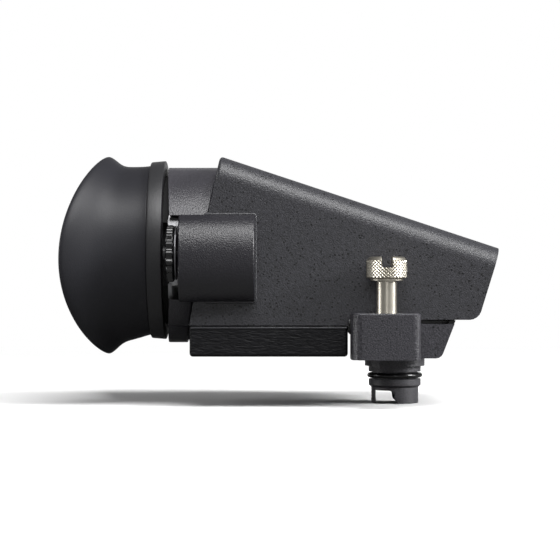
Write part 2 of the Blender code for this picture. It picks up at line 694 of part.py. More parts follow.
def make_wheel():
    outline = []
    samples = WHEEL_LOBES * 4
    for step in range(samples):
        turn = math.tau * step / samples
        dip = WHEEL_LOBE_DEPTH * (1 - math.cos(WHEEL_LOBES * turn)) / 2
        radius = WHEEL_RADIUS - dip
        outline.append((WHEEL_Y + radius * math.cos(turn), WHEEL_Z + radius * math.sin(turn)))
    bm = prism(outline, WHEEL_REAR_X, WHEEL_REAR_X + WHEEL_THICKNESS, "X")
    wheel = place("diopter_wheel", bm, "black_plastic", (WHEEL_REAR_X, WHEEL_Y, WHEEL_Z))
    bore = rod(
        LEAD_RADIUS + RUN, WHEEL_REAR_X - OVERRUN, WHEEL_REAR_X + WHEEL_THICKNESS + OVERRUN,
        (WHEEL_Y, WHEEL_Z), "X", SMALL_STEPS,
    )
    return smooth(cut(wheel, cutter("wheel_bore", bore)))


def make_lead_screw():
    rear = WHEEL_REAR_X - GAP - LEAD_HEAD_LENGTH
    bearing_front = CARRIAGE_FRONT_X + CARRIAGE_TRAVEL + GAP + 2 * BEARING_THICKNESS
    length = bearing_front + GAP - rear
    profile = [
        (0, 0), (LEAD_HEAD_RADIUS, 0), (LEAD_HEAD_RADIUS, LEAD_HEAD_LENGTH),
        (LEAD_RADIUS, LEAD_HEAD_LENGTH), (LEAD_RADIUS, length), (0, length),
    ]
    bm = turned(profile, (rear, WHEEL_Y, WHEEL_Z), "X", SMALL_STEPS)
    return smooth(place("lead_screw", bm, "steel", (WHEEL_REAR_X, WHEEL_Y, WHEEL_Z)))


def make_wheel_washer():
    rear = WHEEL_REAR_X + WHEEL_THICKNESS + GAP
    bm = ring(
        WHEEL_WASHER_RADIUS, LEAD_RADIUS + RUN, rear, rear + WHEEL_WASHER_THICKNESS,
        (WHEEL_Y, WHEEL_Z), "X", MEDIUM_STEPS,
    )
    return smooth(place("wheel_washer", bm, "steel"))


def make_carriage():
    length = CARRIAGE_FRONT_X - CARRIAGE_REAR_X
    centre = (CARRIAGE_REAR_X, 0, AXIS_Z)
    profile = [
        (CARRIAGE_BORE, 0), (CARRIAGE_RADIUS, 0), (CARRIAGE_RADIUS, length), (CARRIAGE_BORE, length),
    ]
    carriage = place("lens_carriage", turned(profile, centre, "X", LARGE_STEPS), "black_anodised", centre)
    arm = box(
        (CARRIAGE_FRONT_X - ARM_THICKNESS, WHEEL_Y - ARM_HALF_HEIGHT, WHEEL_Z - ARM_HALF_HEIGHT),
        (CARRIAGE_FRONT_X, -(CARRIAGE_RADIUS + CARRIAGE_BORE) / 2, WHEEL_Z + ARM_HALF_HEIGHT),
    )
    join(carriage, cutter("carriage_arm", arm))
    nut = rod(
        LEAD_RADIUS + RUN, CARRIAGE_FRONT_X - ARM_THICKNESS - OVERRUN, CARRIAGE_FRONT_X + OVERRUN,
        (WHEEL_Y, WHEEL_Z), "X", SMALL_STEPS,
    )
    return smooth(cut(carriage, cutter("carriage_nut", nut)))


def make_lens(index, bulge):
    """A lens with a flat edge and two domed faces, each an arc that rises by bulge."""
    arc = 3
    half = LENS_EDGE / 2
    rear = [(LENS_RADIUS * step / arc, -half - bulge * (1 - (step / arc) ** 2)) for step in range(arc + 1)]
    front = [(radius, -height) for radius, height in reversed(rear)]
    middle = CARRIAGE_REAR_X + LENS_EDGE + LENS_BULGES[0] + LENS_PITCH * index
    bm = turned(rear + front, (middle, 0, AXIS_Z), "X", MEDIUM_STEPS)
    return smooth(place(f"lens_{index + 1}", bm, "glass", (middle, 0, AXIS_Z)))


def make_lens_retainer():
    front = CARRIAGE_FRONT_X - GAP
    bm = ring(
        CARRIAGE_BORE - GAP, CARRIAGE_BORE - RETAINER_WALL, front - RETAINER_LENGTH, front,
        (0, AXIS_Z), "X", LARGE_STEPS,
    )
    return smooth(place("lens_retainer", bm, "black_anodised", (front, 0, AXIS_Z)))


def make_window():
    rear = BARREL_REAR_X + WINDOW_INSET
    glass = rod(BARREL_BORE - GAP, rear, rear + WINDOW_THICKNESS, (0, AXIS_Z), "X", LARGE_STEPS)
    low = rear + WINDOW_THICKNESS + GAP
    retainer = ring(
        BARREL_BORE - GAP, BARREL_BORE - RETAINER_WALL, low, low + RETAINER_LENGTH, (0, AXIS_Z),
        "X", LARGE_STEPS,
    )
    smooth(place("eyepiece_window", glass, "glass"))
    smooth(place("window_retainer", retainer, "black_anodised"))


def make_eyecup_ring():
    bore = BARREL_HEAD_RADIUS + RUN
    edge = BULGE_EDGE
    profile = [
        (bore, 0), (RING_RADIUS - edge, 0), (RING_RADIUS, edge), (RING_RADIUS, RING_LENGTH - edge),
        (RING_RADIUS - edge, RING_LENGTH), (bore, RING_LENGTH),
    ]
    centre = (RING_REAR_X, 0, AXIS_Z)
    bm = turned(profile, centre, "X", LARGE_STEPS)
    return smooth(place("eyecup_ring", bm, "black_plastic", centre))


def cup_point(radius, share, turn):
    """A point of the cup: share 0 is the neck and 1 the rim, which reaches furthest at the sides."""
    sideways = math.cos(turn) ** 2
    length = CUP_LENGTH_TOP + CUP_SADDLE * sideways * share
    drop = CUP_DROP + (CUP_TIP_DROP - CUP_DROP) * sideways
    return Vector((
        RING_REAR_X - GAP - length * share,
        radius * math.cos(turn),
        AXIS_Z + radius * math.sin(turn) - drop * share ** 2,
    ))


def cup_section():
    """The cup's wall as (radius, share) points: out along its skin, over the lip and back."""
    reach = CUP_FLARE_RADIUS - CUP_WAIST_RADIUS
    flare_shares = (
        (0.0, 0.05), (0.2, 0.0), (0.45, 0.03), (0.62, 0.22), (0.75, 0.48), (0.87, 0.78), (0.95, 0.95),
    )
    skin = [(CUP_WAIST_RADIUS + reach * rise, share) for share, rise in flare_shares]
    lip_middle = CUP_FLARE_RADIUS - CUP_LIP_WALL / 2
    lip = [(CUP_FLARE_RADIUS, 0.985), (lip_middle, 1.0), (CUP_FLARE_RADIUS - CUP_LIP_WALL, 0.985)]
    lining = [(radius - CUP_WALL, share) for radius, share in reversed(skin[2:])]
    floor_share = CUP_FLOOR / CUP_LENGTH_TOP
    lining.append((CUP_WAIST_RADIUS - CUP_WALL, 2 * floor_share))
    lining.append((CUP_THROAT_RADIUS, floor_share))
    lining.append((CUP_THROAT_RADIUS, 0.0))
    return skin + lip + lining


def make_eyecup():
    bm = bmesh.new()
    section = cup_section()
    hoops = []
    for radius, share in section:
        turns = (math.tau * step / LARGE_STEPS for step in range(LARGE_STEPS))
        hoops.append([bm.verts.new(cup_point(radius, share, turn)) for turn in turns])
    for near, far in zip(hoops, hoops[1:] + hoops[:1]):
        for step in range(LARGE_STEPS):
            after = (step + 1) % LARGE_STEPS
            bm.faces.new((near[step], near[after], far[after], far[step]))
    return smooth(place("eyecup_rubber", bm, "rubber", (RING_REAR_X, 0, AXIS_Z)), 50)


def foot_outline():
    step = FOOT_BROW_X - FOOT_REAR_X
    return [
        (FOOT_REAR_X, 0),
        (FOOT_FRONT_BOTTOM_X, 0),
        (FOOT_FRONT_TOP_X, FOOT_TOP_Z),
        (FOOT_BROW_X, FOOT_TOP_Z),
        (FOOT_BROW_X, FOOT_BROW_Z - step / 2),
        (FOOT_REAR_X, FOOT_BROW_Z + step / 2),
    ]


def ear_middle_y():
    return CASING_HALF_WIDTH + EAR_CLEARANCE + EAR_WIDTH / 2


def make_ear(side, rear_x):
    """One ear, on side -1 (near) or 1 (far), with the step that clears the casing."""
    inner = CASING_HALF_WIDTH + EAR_CLEARANCE
    outer = inner + EAR_WIDTH
    lap = inner - OVERRUN
    bm = prism(
        [(side * lap, 0), (side * outer, 0), (side * outer, EAR_TOP_Z), (side * inner, EAR_TOP_Z),
         (side * inner, FOOT_TOP_Z), (side * lap, FOOT_TOP_Z)],
        rear_x, EAR_FRONT_X, "X",
    )
    upright = edges_where(bm, lambda a, b: abs(a.z - b.z) > EAR_TOP_Z / 2 and abs(a.y) > inner + GAP)
    round_edges(bm, upright, EAR_RADIUS, 3)
    top = edges_where(bm, lambda a, b: min(a.z, b.z) > EAR_TOP_Z - GAP)
    round_edges(bm, top, EAR_EDGE, 1)
    return bm


def screw_sites():
    return (("near", -ear_middle_y()), ("far", ear_middle_y()))


def make_foot():
    outline = foot_outline()
    bm = prism(outline, -CASING_HALF_WIDTH, CASING_HALF_WIDTH)
    round_edges(bm, edges_where(bm, lambda a, b: is_cross_edge(a, b, outline[1])), FOOT_FRONT_RADIUS, 3)
    foot = place("mounting_foot", bm, "textured_paint")
    join(foot, cutter("near_ear", make_ear(-1, EAR_REAR_X)))
    join(foot, cutter("far_ear", make_ear(1, EAR_FAR_REAR_X)))
    half = YOKE_HALF_WIDTH + GAP
    recess_z = yoke_top_z() - YOKE_THICKNESS - GAP
    front = YOKE_RECESS_FRONT_X + GAP
    recess = box((YOKE_REAR_X - GAP, -half, recess_z), (front, half, FOOT_TOP_Z + OVERRUN))
    bore = rod(PLUG_BOSS_RADIUS + GAP, -OVERRUN, FOOT_TOP_Z + OVERRUN, (0, 0), "Z", MEDIUM_STEPS)
    nut_way = rod(NUT_RADIUS + GAP, NUT_BOTTOM_Z - GAP, FOOT_TOP_Z + OVERRUN, (0, 0), "Z", MEDIUM_STEPS)
    cut(foot, cutter("yoke_recess", recess), cutter("plug_way", bore), cutter("nut_way", nut_way))
    for side, y in screw_sites():
        seat_z = EAR_TOP_Z - BUSH_THICKNESS - GAP
        profile = [
            (0, -OVERRUN), (SCREW_THREAD_RADIUS + GAP, -OVERRUN),
            (SCREW_THREAD_RADIUS + GAP, EAR_SHOULDER_Z), (EAR_BORE, EAR_SHOULDER_Z),
            (EAR_BORE, seat_z), (BUSH_RADIUS + GAP, seat_z),
            (BUSH_RADIUS + GAP, EAR_TOP_Z + OVERRUN), (0, EAR_TOP_Z + OVERRUN),
        ]
        cut(foot, cutter(side + "_ear_bore", turned(profile, (SCREW_X, y, 0), "Z", MEDIUM_STEPS)))
    for name, (x, y, _) in yoke_screw_places():
        low = yoke_top_z() - SMALL_SCREW_LENGTH - OVERRUN
        pilot = rod(SMALL_SCREW_RADIUS + RUN, low, FOOT_TOP_Z, (x, y), "Z", TINY_STEPS)
        cut(foot, cutter("pilot_" + name, pilot))
    return smooth(foot)


def yoke_top_z():
    return CASING_FLOOR_Z - GAP


def on_knuckle(degrees):
    """A point on the hinge knuckle's circle, in (x, z)."""
    turn = math.radians(degrees)
    return (PIVOT_X + KNUCKLE_RADIUS * math.cos(turn), PIVOT_Z + KNUCKLE_RADIUS * math.sin(turn))


def make_yoke():
    top = yoke_top_z()
    low = top - YOKE_THICKNESS
    ledge = FOOT_TOP_Z + GAP
    outline = [
        (YOKE_REAR_X, low), (YOKE_RECESS_FRONT_X, low), (YOKE_RECESS_FRONT_X, ledge),
        (YOKE_FRONT_X - GAP, ledge), (YOKE_FRONT_X, top), (YOKE_REAR_X, top),
    ]
    yoke = place("hinge_yoke", prism(outline, -YOKE_HALF_WIDTH, YOKE_HALF_WIDTH), "dark_cover")
    root_z = (top + ledge) / 2
    lug = [(LUG_REAR_X, root_z), (YOKE_FRONT_X - 2 * GAP, root_z)]
    lug += [on_knuckle(degrees) for degrees in range(-60, 121, 20)]
    for name, y in (("near", -LUG_OUTER_Y), ("far", LUG_INNER_Y)):
        width = LUG_OUTER_Y - LUG_INNER_Y
        join(yoke, cutter(name + "_lug", prism(lug, y, y + width)))
    reach = LUG_OUTER_Y + OVERRUN
    bore = rod(SHAFT_RADIUS + RUN, -reach, reach, (PIVOT_X, PIVOT_Z), "Y", SMALL_STEPS)
    wire_way = box(
        (-FLEX_HALF_WIDTH / 2, -FLEX_HALF_WIDTH - GAP, low - OVERRUN),
        (FLEX_HALF_WIDTH / 2, FLEX_HALF_WIDTH + GAP, top + OVERRUN),
    )
    trough = box(
        (0, -FLEX_HALF_WIDTH - GAP, top - FLEX_THICKNESS - 2 * GAP),
        (YOKE_FRONT_X + OVERRUN, FLEX_HALF_WIDTH + GAP, top + OVERRUN),
    )
    cut(yoke, cutter("yoke_bore", bore), cutter("wire_way", wire_way), cutter("flex_trough", trough))
    for name, (x, y, _) in yoke_screw_places():
        hole = rod(SMALL_SCREW_RADIUS + RUN, low - OVERRUN, top + OVERRUN, (x, y), "Z", TINY_STEPS)
        sink_low = top - SMALL_HEAD_HEIGHT - 2 * GAP
        sink = rod(SMALL_HEAD_RADIUS + RUN, sink_low, top + OVERRUN, (x, y), "Z", SMALL_STEPS)
        cut(yoke, cutter("hole_" + name, hole), cutter("sink_" + name, sink))
    return smooth(yoke)


def make_bracket():
    deck_z = CASING_FLOOR_Z + CASING_WALL + GAP
    top_z = deck_z + BRACKET_THICKNESS
    half = LUG_INNER_Y - FRICTION_WASHER - 2 * GAP
    start = 180 + math.degrees(math.asin((PIVOT_Z - deck_z) / KNUCKLE_RADIUS))
    end = 540 - math.degrees(math.asin((top_z - PIVOT_Z) / KNUCKLE_RADIUS))
    outline = [(BRACKET_REAR_X, deck_z)]
    outline += [on_knuckle(start + (end - start) * step / SMALL_STEPS) for step in range(SMALL_STEPS + 1)]
    outline.append((BRACKET_REAR_X, top_z))
    bracket = place("hinge_bracket", prism(outline, -half, half), "steel")
    middle = half - KNUCKLE_LENGTH
    gap = box(
        (PIVOT_X - KNUCKLE_RADIUS - GAP, -middle, PIVOT_Z - KNUCKLE_RADIUS - OVERRUN),
        (PIVOT_X + KNUCKLE_RADIUS + OVERRUN, middle, PIVOT_Z + KNUCKLE_RADIUS + OVERRUN),
    )
    bore = rod(SHAFT_RADIUS + RUN, -half - OVERRUN, half + OVERRUN, (PIVOT_X, PIVOT_Z), "Y", SMALL_STEPS)
    cut(bracket, cutter("bracket_gap", gap), cutter("bracket_bore", bore))
    for name, (x, y, _) in bracket_screw_places():
        hole = rod(
            SMALL_SCREW_RADIUS + RUN, deck_z - OVERRUN, deck_z + BRACKET_THICKNESS + OVERRUN, (x, y),
            "Z", TINY_STEPS,
        )
        cut(bracket, cutter("hole_" + name, hole))
    return smooth(bracket)


def make_hinge_shaft():
    end = LUG_OUTER_Y + GAP
    clip = FRICTION_WASHER + RUN
    profile = [
        (0, -end - SHAFT_HEAD_LENGTH), (SHAFT_HEAD_RADIUS, -end - SHAFT_HEAD_LENGTH),
        (SHAFT_HEAD_RADIUS, -end), (SHAFT_RADIUS, -end), (SHAFT_RADIUS, end + clip + GAP),
        (0, end + clip + GAP),
    ]
    pivot = (PIVOT_X, 0, PIVOT_Z)
    smooth(place("hinge_shaft", turned(profile, pivot, "Y", SMALL_STEPS), "steel", pivot))
    spot = (PIVOT_X, PIVOT_Z)
    bore = SHAFT_RADIUS + RUN
    ring_clip = ring(SHAFT_HEAD_RADIUS, bore, end, end + clip, spot, "Y", SMALL_STEPS)
    smooth(place("shaft_clip", ring_clip, "steel", pivot))
    outer = LUG_INNER_Y - GAP
    for name, low in (("near", -outer), ("far", outer - FRICTION_WASHER)):
        washer = ring(SHAFT_HEAD_RADIUS, bore, low, low + FRICTION_WASHER, spot, "Y", SMALL_STEPS)
        smooth(place(f"friction_washer_{name}", washer, "steel", pivot))


def make_plug():
    """The round plug: flange, neck, ring groove, lower rim and a skirt with a cut through it."""
    bore = PLUG_SKIRT_RADIUS - PLUG_SKIRT_WALL
    profile = [
        (bore, PLUG_BOTTOM_Z), (PLUG_SKIRT_RADIUS - GAP, PLUG_BOTTOM_Z),
        (PLUG_SKIRT_RADIUS, PLUG_BOTTOM_Z + GAP), (PLUG_SKIRT_RADIUS, PLUG_SKIRT_TOP_Z),
        (PLUG_RIM_RADIUS, PLUG_RIM_BOTTOM_Z), (PLUG_RIM_RADIUS, PLUG_RIM_TOP_Z),
        (PLUG_GROOVE_RADIUS, PLUG_RIM_TOP_Z), (PLUG_GROOVE_RADIUS, PLUG_NECK_BOTTOM_Z),
        (PLUG_NECK_RADIUS, PLUG_NECK_BOTTOM_Z), (PLUG_NECK_RADIUS, PLUG_FLANGE_BOTTOM_Z),
        (PLUG_FLANGE_RADIUS, PLUG_FLANGE_BOTTOM_Z), (PLUG_FLANGE_RADIUS, -GAP),
        (PLUG_BOSS_RADIUS, -GAP), (PLUG_BOSS_RADIUS, PLUG_BORE_TOP_Z), (bore, PLUG_BORE_TOP_Z),
    ]
    plug = place("plug_shell", turned(profile, (0, 0, 0), "Z", LARGE_STEPS), "textured_paint")
    reach = PLUG_FLANGE_RADIUS + OVERRUN
    low = PLUG_BOTTOM_Z - OVERRUN
    outline = [(PLUG_PRONG_TIP_X, low), (PLUG_PRONG_X, PLUG_CUT_TOP_Z)]
    for step in range(TINY_STEPS + 1):
        share = step / TINY_STEPS
        ease = share * share * (3 - 2 * share)
        x = PLUG_CUT_TOP_X + ease * (PLUG_CUT_BOTTOM_X - PLUG_CUT_TOP_X)
        outline.append((x, PLUG_CUT_TOP_Z + share * (PLUG_BOTTOM_Z - PLUG_CUT_TOP_Z)))
    outline.append((PLUG_CUT_BOTTOM_X, low))
    return smooth(cut(plug, cutter("plug_cut", prism(outline, -reach, reach))))


def make_plug_nut():
    outline = []
    for step in range(NUT_SIDES):
        turn = math.tau * (step + 0.5) / NUT_SIDES
        outline.append((NUT_RADIUS * math.cos(turn), NUT_RADIUS * math.sin(turn)))
    nut = place("plug_nut", prism(outline, NUT_BOTTOM_Z, NUT_BOTTOM_Z + NUT_HEIGHT, "Z"), "steel")
    bore = rod(
        PLUG_BOSS_RADIUS + RUN, NUT_BOTTOM_Z - OVERRUN, NUT_BOTTOM_Z + NUT_HEIGHT + OVERRUN,
        (0, 0), "Z", MEDIUM_STEPS,
    )
    return smooth(cut(nut, cutter("nut_bore", bore)))


def make_oring():
    middle_z = (PLUG_NECK_BOTTOM_Z + PLUG_RIM_TOP_Z) / 2
    section = []
    for step in range(TINY_STEPS):
        turn = math.tau * step / TINY_STEPS
        section.append((
            ORING_CENTRE_RADIUS + ORING_RADIUS * math.cos(turn), middle_z + ORING_RADIUS * math.sin(turn)
        ))
    return smooth(place("plug_oring", turned(section, (0, 0, 0), "Z", LARGE_STEPS), "rubber"), 60)


def contact_places():
    for row in range(CONTACT_ROWS):
        for column in range(CONTACT_COLUMNS):
            x = (column - (CONTACT_COLUMNS - 1) / 2) * CONTACT_PITCH
            y = (row - (CONTACT_ROWS - 1) / 2) * CONTACT_PITCH
            yield x, y


def make_contacts():
    """The insulator that fills the plug's bore, and the board whose pins reach through it."""
    bore = PLUG_SKIRT_RADIUS - PLUG_SKIRT_WALL - GAP
    top = INSULATOR_FLOOR_Z + INSULATOR_HEIGHT
    block = rod(bore, INSULATOR_FLOOR_Z, top, (0, 0), "Z", MEDIUM_STEPS)
    insulator = place("plug_insulator", block, "black_plastic")
    plate = rod(bore, top + GAP, top + GAP + CONTACT_BOARD, (0, 0), "Z", MEDIUM_STEPS)
    board = place("contact_board", plate, "gold")
    for index, (x, y) in enumerate(contact_places()):
        low = INSULATOR_FLOOR_Z - CONTACT_REACH
        pin = rod(CONTACT_RADIUS, low, top + GAP + CONTACT_BOARD / 2, (x, y), "Z", TINY_STEPS)
        join(board, cutter(f"contact_pin_{index}", pin))
        way = rod(
            CONTACT_RADIUS + RUN, INSULATOR_FLOOR_Z - OVERRUN, top + OVERRUN, (x, y), "Z",
            TINY_STEPS,
        )
        cut(insulator, cutter(f"contact_way_{index}", way))
    smooth(board)
    smooth(insulator)


def screw_washer_z():
    """The washer's underside, just below the bush that stops it."""
    return EAR_TOP_Z - BUSH_THICKNESS - 2 * GAP - SCREW_WASHER_THICKNESS


def make_thumbscrew(side, y):
    shoulder = screw_washer_z() + SCREW_WASHER_THICKNESS + GAP
    edge = SCREW_HEAD_CHAMFER
    head = SCREW_HEAD_RADIUS
    profile = [
        (0, SCREW_TIP_Z), (SCREW_THREAD_RADIUS - SCREW_TIP_CHAMFER, SCREW_TIP_Z),
        (SCREW_THREAD_RADIUS, SCREW_TIP_Z + SCREW_TIP_CHAMFER), (SCREW_THREAD_RADIUS, shoulder),
        (SCREW_SHANK_RADIUS, shoulder), (SCREW_SHANK_RADIUS, SCREW_COLLAR_BOTTOM_Z),
        (SCREW_COLLAR_RADIUS, SCREW_COLLAR_BOTTOM_Z), (SCREW_COLLAR_RADIUS, SCREW_HEAD_BOTTOM_Z),
        (head - edge / 2, SCREW_HEAD_BOTTOM_Z), (head, SCREW_HEAD_BOTTOM_Z + edge / 2),
        (head, SCREW_HEAD_TOP_Z - edge), (head - edge, SCREW_HEAD_TOP_Z), (0, SCREW_HEAD_TOP_Z),
    ]
    bm = turned(profile, (SCREW_X, y, 0), "Z", MEDIUM_STEPS)
    screw = place(side + "_thumbscrew", bm, "nickel", (SCREW_X, y, 0))
    half = SCREW_SLOT_WIDTH / 2
    slot = box(
        (SCREW_X - half, y - head - OVERRUN, SCREW_HEAD_TOP_Z - SCREW_SLOT_DEPTH),
        (SCREW_X + half, y + head + OVERRUN, SCREW_HEAD_TOP_Z + OVERRUN),
    )
    return smooth(cut(screw, cutter(side + "_slot", slot)))


def make_screw_fittings(side, y):
    spot = (SCREW_X, y)
    origin = (SCREW_X, y, 0)
    bush_low = EAR_TOP_Z - BUSH_THICKNESS
    bush = ring(BUSH_RADIUS, SCREW_SHANK_RADIUS + RUN, bush_low, EAR_TOP_Z, spot)
    smooth(place(side + "_screw_bush", bush, "steel", origin))
    washer_low = screw_washer_z()
    washer_high = washer_low + SCREW_WASHER_THICKNESS
    washer = ring(SCREW_WASHER_RADIUS, SCREW_THREAD_RADIUS + RUN, washer_low, washer_high, spot)
    smooth(place(side + "_spring_washer", washer, "steel", origin))
    clip_high = washer_low - GAP
    clip_low = clip_high - SCREW_CLIP_THICKNESS
    clip = ring(SCREW_CLIP_RADIUS, SCREW_THREAD_RADIUS + RUN, clip_low, clip_high, spot, "Z", SMALL_STEPS)
    smooth(place(side + "_screw_clip", clip, "steel", origin))


def spring_point(share, y):
    """A point of the cone spring, which winds out as it climbs to the washer."""
    low = EAR_SHOULDER_Z + GAP + SPRING_WIRE
    high = screw_washer_z() - GAP - SPRING_WIRE
    radius = SPRING_BOTTOM_RADIUS + share * (SPRING_TOP_RADIUS - SPRING_BOTTOM_RADIUS)
    turn = math.tau * SPRING_TURNS * share
    return Vector((
        SCREW_X + radius * math.cos(turn), y + radius * math.sin(turn), low + share * (high - low)
    ))


def make_spring(side, y):
    count = 10 * SPRING_TURNS
    curve = bpy.data.curves.new(side + "_screw_spring", "CURVE")
    curve.dimensions = "3D"
    curve.bevel_depth = SPRING_WIRE
    curve.bevel_resolution = 1
    curve.use_fill_caps = True
    wire = curve.splines.new("POLY")
    wire.points.add(count)
    for index in range(count + 1):
        wire.points[index].co = (*spring_point(index / count, y), 1.0)
    curve.materials.append(material("steel"))
    made = bpy.data.objects.new(side + "_screw_spring", curve)
    bpy.context.scene.collection.objects.link(made)
    rise = (spring_point(1.0, y).z - spring_point(0.0, y).z) / SPRING_TURNS
    print(side, "spring gap in mm:", round((rise - 2 * SPRING_WIRE) / MM, 3))
    return made


def make_small_screw(name, x, y, head_z, length, way=-1):
    """A small screw whose head lies at head_z and whose shaft runs down, or up where way is 1."""
    outer = head_z - way * SMALL_HEAD_HEIGHT
    tip = head_z + way * (length - SMALL_HEAD_HEIGHT)
    floor = outer + way * SMALL_RECESS_DEPTH
    profile = [
        (0, tip), (SMALL_SCREW_RADIUS, tip), (SMALL_SCREW_RADIUS, head_z),
        (SMALL_HEAD_RADIUS, head_z), (SMALL_HEAD_RADIUS, outer), (SMALL_RECESS_RADIUS, outer),
        (SMALL_RECESS_RADIUS, floor), (0, floor),
    ]
    return smooth(place(name, turned(profile, (x, y, 0), "Z", TINY_STEPS), "steel", (x, y, 0)))


def bracket_screw_places():
    x = BRACKET_REAR_X + SMALL_HEAD_RADIUS + OVERRUN
    head_z = CASING_FLOOR_Z + CASING_WALL + BRACKET_THICKNESS + 2 * GAP
    reach = LUG_INNER_Y / 2
    return (("bracket_screw_near", (x, -reach, head_z)), ("bracket_screw_far", (x, reach, head_z)))


def frame_screw_places():
    x = DISPLAY_X + FRAME_FOOT_LENGTH / 2
    head_z = CASING_FLOOR_Z + CASING_WALL + FRAME_THICKNESS + 2 * GAP
    reach = FRAME_HALF_WIDTH - SMALL_HEAD_RADIUS - OVERRUN
    return (("frame_screw_near", (x, -reach, head_z)), ("frame_screw_far", (x, reach, head_z)))


def yoke_screw_places():
    x = YOKE_RECESS_FRONT_X - SMALL_HEAD_RADIUS - OVERRUN
    head_z = yoke_top_z() - SMALL_HEAD_HEIGHT - GAP
    reach = YOKE_HALF_WIDTH - SMALL_HEAD_RADIUS - OVERRUN
    return (("yoke_screw_near", (x, -reach, head_z)), ("yoke_screw_far", (x, reach, head_z)))


def make_screws():
    for name, (x, y, head_z) in (*bracket_screw_places(), *frame_screw_places(), *yoke_screw_places()):
        make_small_screw(name, x, y, head_z, SMALL_SCREW_LENGTH)
    for index, (x, y) in enumerate(cover_screw_places()):
        head_z = COVER_BOTTOM_Z + SMALL_HEAD_HEIGHT + GAP
        make_small_screw(f"cover_screw_{index + 1}", x, y, head_z, COVER_SCREW_LENGTH, 1)


def make_display():
    deck_z = CASING_FLOOR_Z + CASING_WALL + GAP
    rear = DISPLAY_X - GAP - FRAME_THICKNESS
    frame = place("display_frame", box(
        (rear, -FRAME_HALF_WIDTH, deck_z), (DISPLAY_X - GAP, FRAME_HALF_WIDTH, FRAME_TOP_Z)
    ), "black_plastic")
    foot = box(
        (rear, -FRAME_HALF_WIDTH, deck_z),
        (rear + FRAME_FOOT_LENGTH, FRAME_HALF_WIDTH, deck_z + FRAME_THICKNESS),
    )
    wide = DISPLAY_HALF_WIDTH - DISPLAY_BORDER
    tall = DISPLAY_HALF_HEIGHT - DISPLAY_BORDER
    view = box((rear - OVERRUN, -wide, AXIS_Z - tall), (DISPLAY_X + OVERRUN, wide, AXIS_Z + tall))
    join(frame, cutter("frame_foot", foot))
    cut(frame, cutter("frame_view", view))
    for name, (x, y, _) in frame_screw_places():
        hole = rod(
            SMALL_SCREW_RADIUS + RUN, deck_z - OVERRUN, deck_z + FRAME_THICKNESS + OVERRUN, (x, y),
            "Z", TINY_STEPS,
        )
        cut(frame, cutter("hole_" + name, hole))
    panel = box(
        (DISPLAY_X, -DISPLAY_HALF_WIDTH, AXIS_Z - DISPLAY_HALF_HEIGHT),
        (DISPLAY_X + DISPLAY_THICKNESS, DISPLAY_HALF_WIDTH, AXIS_Z + DISPLAY_HALF_HEIGHT),
    )
    place("display_panel", panel, "screen")
    driver_x = DISPLAY_X + DISPLAY_THICKNESS + GAP
    driver = box(
        (driver_x, -DRIVER_HALF_WIDTH, DRIVER_BOTTOM_Z),
        (driver_x + DRIVER_THICKNESS, DRIVER_HALF_WIDTH, DRIVER_TOP_Z),
    )
    place("display_board", driver, "board")


def make_main_board():
    board = place("main_board", box(
        (BOARD_REAR_X, -BOARD_HALF_WIDTH, BOARD_Z),
        (BOARD_FRONT_X, BOARD_HALF_WIDTH, BOARD_Z + BOARD_THICKNESS),
    ), "board")
    middle_x = (BOARD_REAR_X + BOARD_FRONT_X) / 2
    for index, (length, width, height) in enumerate(CHIP_SIZES):
        y = (index - 0.5) * BOARD_HALF_WIDTH
        chip = box(
            (middle_x - length / 2, y - width / 2, BOARD_Z + BOARD_THICKNESS / 2),
            (middle_x + length / 2, y + width / 2, BOARD_Z + BOARD_THICKNESS + height),
        )
        join(board, cutter(f"chip_{index}", chip))
    return board


def ribbon(name, path):
    """A flat flex whose lower side follows the path of (x, z) points."""
    lift = FLEX_THICKNESS
    upper = []
    for index, point in enumerate(path):
        before = Vector(path[max(index - 1, 0)])
        after = Vector(path[min(index + 1, len(path) - 1)])
        heading = (after - before).normalized()
        upper.append((point[0] - heading.y * lift, point[1] + heading.x * lift))
    bm = prism(path + upper[::-1], -FLEX_HALF_WIDTH, FLEX_HALF_WIDTH)
    return place(name, bm, "flex")


def make_flexes():
    low_z = yoke_top_z() - FLEX_THICKNESS - GAP
    behind = PIVOT_X - KNUCKLE_RADIUS
    split_z = PIVOT_Z - SHAFT_RADIUS
    ribbon("foot_flex", [
        (0, PLUG_BORE_TOP_Z + GAP), (0, low_z), (behind - KNUCKLE_RADIUS, low_z),
        (behind, split_z - 2 * GAP),
    ])
    over_z = CASING_FLOOR_Z + CASING_WALL + BRACKET_THICKNESS + 3 * GAP
    ribbon("housing_flex", [
        (BOARD_FRONT_X - OVERRUN, BOARD_Z - 2 * GAP), (BOARD_FRONT_X + GAP, over_z + GAP),
        (behind + GAP, over_z), (behind + GAP, split_z),
    ][::-1])
    driver_x = DISPLAY_X + DISPLAY_THICKNESS + 2 * GAP + DRIVER_THICKNESS
    ribbon("display_flex", [
        (driver_x, DRIVER_BOTTOM_Z + OVERRUN), (driver_x, BOARD_Z), (BOARD_REAR_X - GAP, BOARD_Z),
    ])


def hang(name, axis_point, pieces):
    """Parents pieces to an empty on their joint's axis, without moving them."""
    pivot = bpy.data.objects.new(name, None)
    pivot.location = axis_point
    bpy.context.scene.collection.objects.link(pivot)
    for piece in pieces:
        made = bpy.data.objects[piece]
        made.parent = pivot
        made.matrix_parent_inverse = Matrix.Translation(-Vector(axis_point))
    return pivot


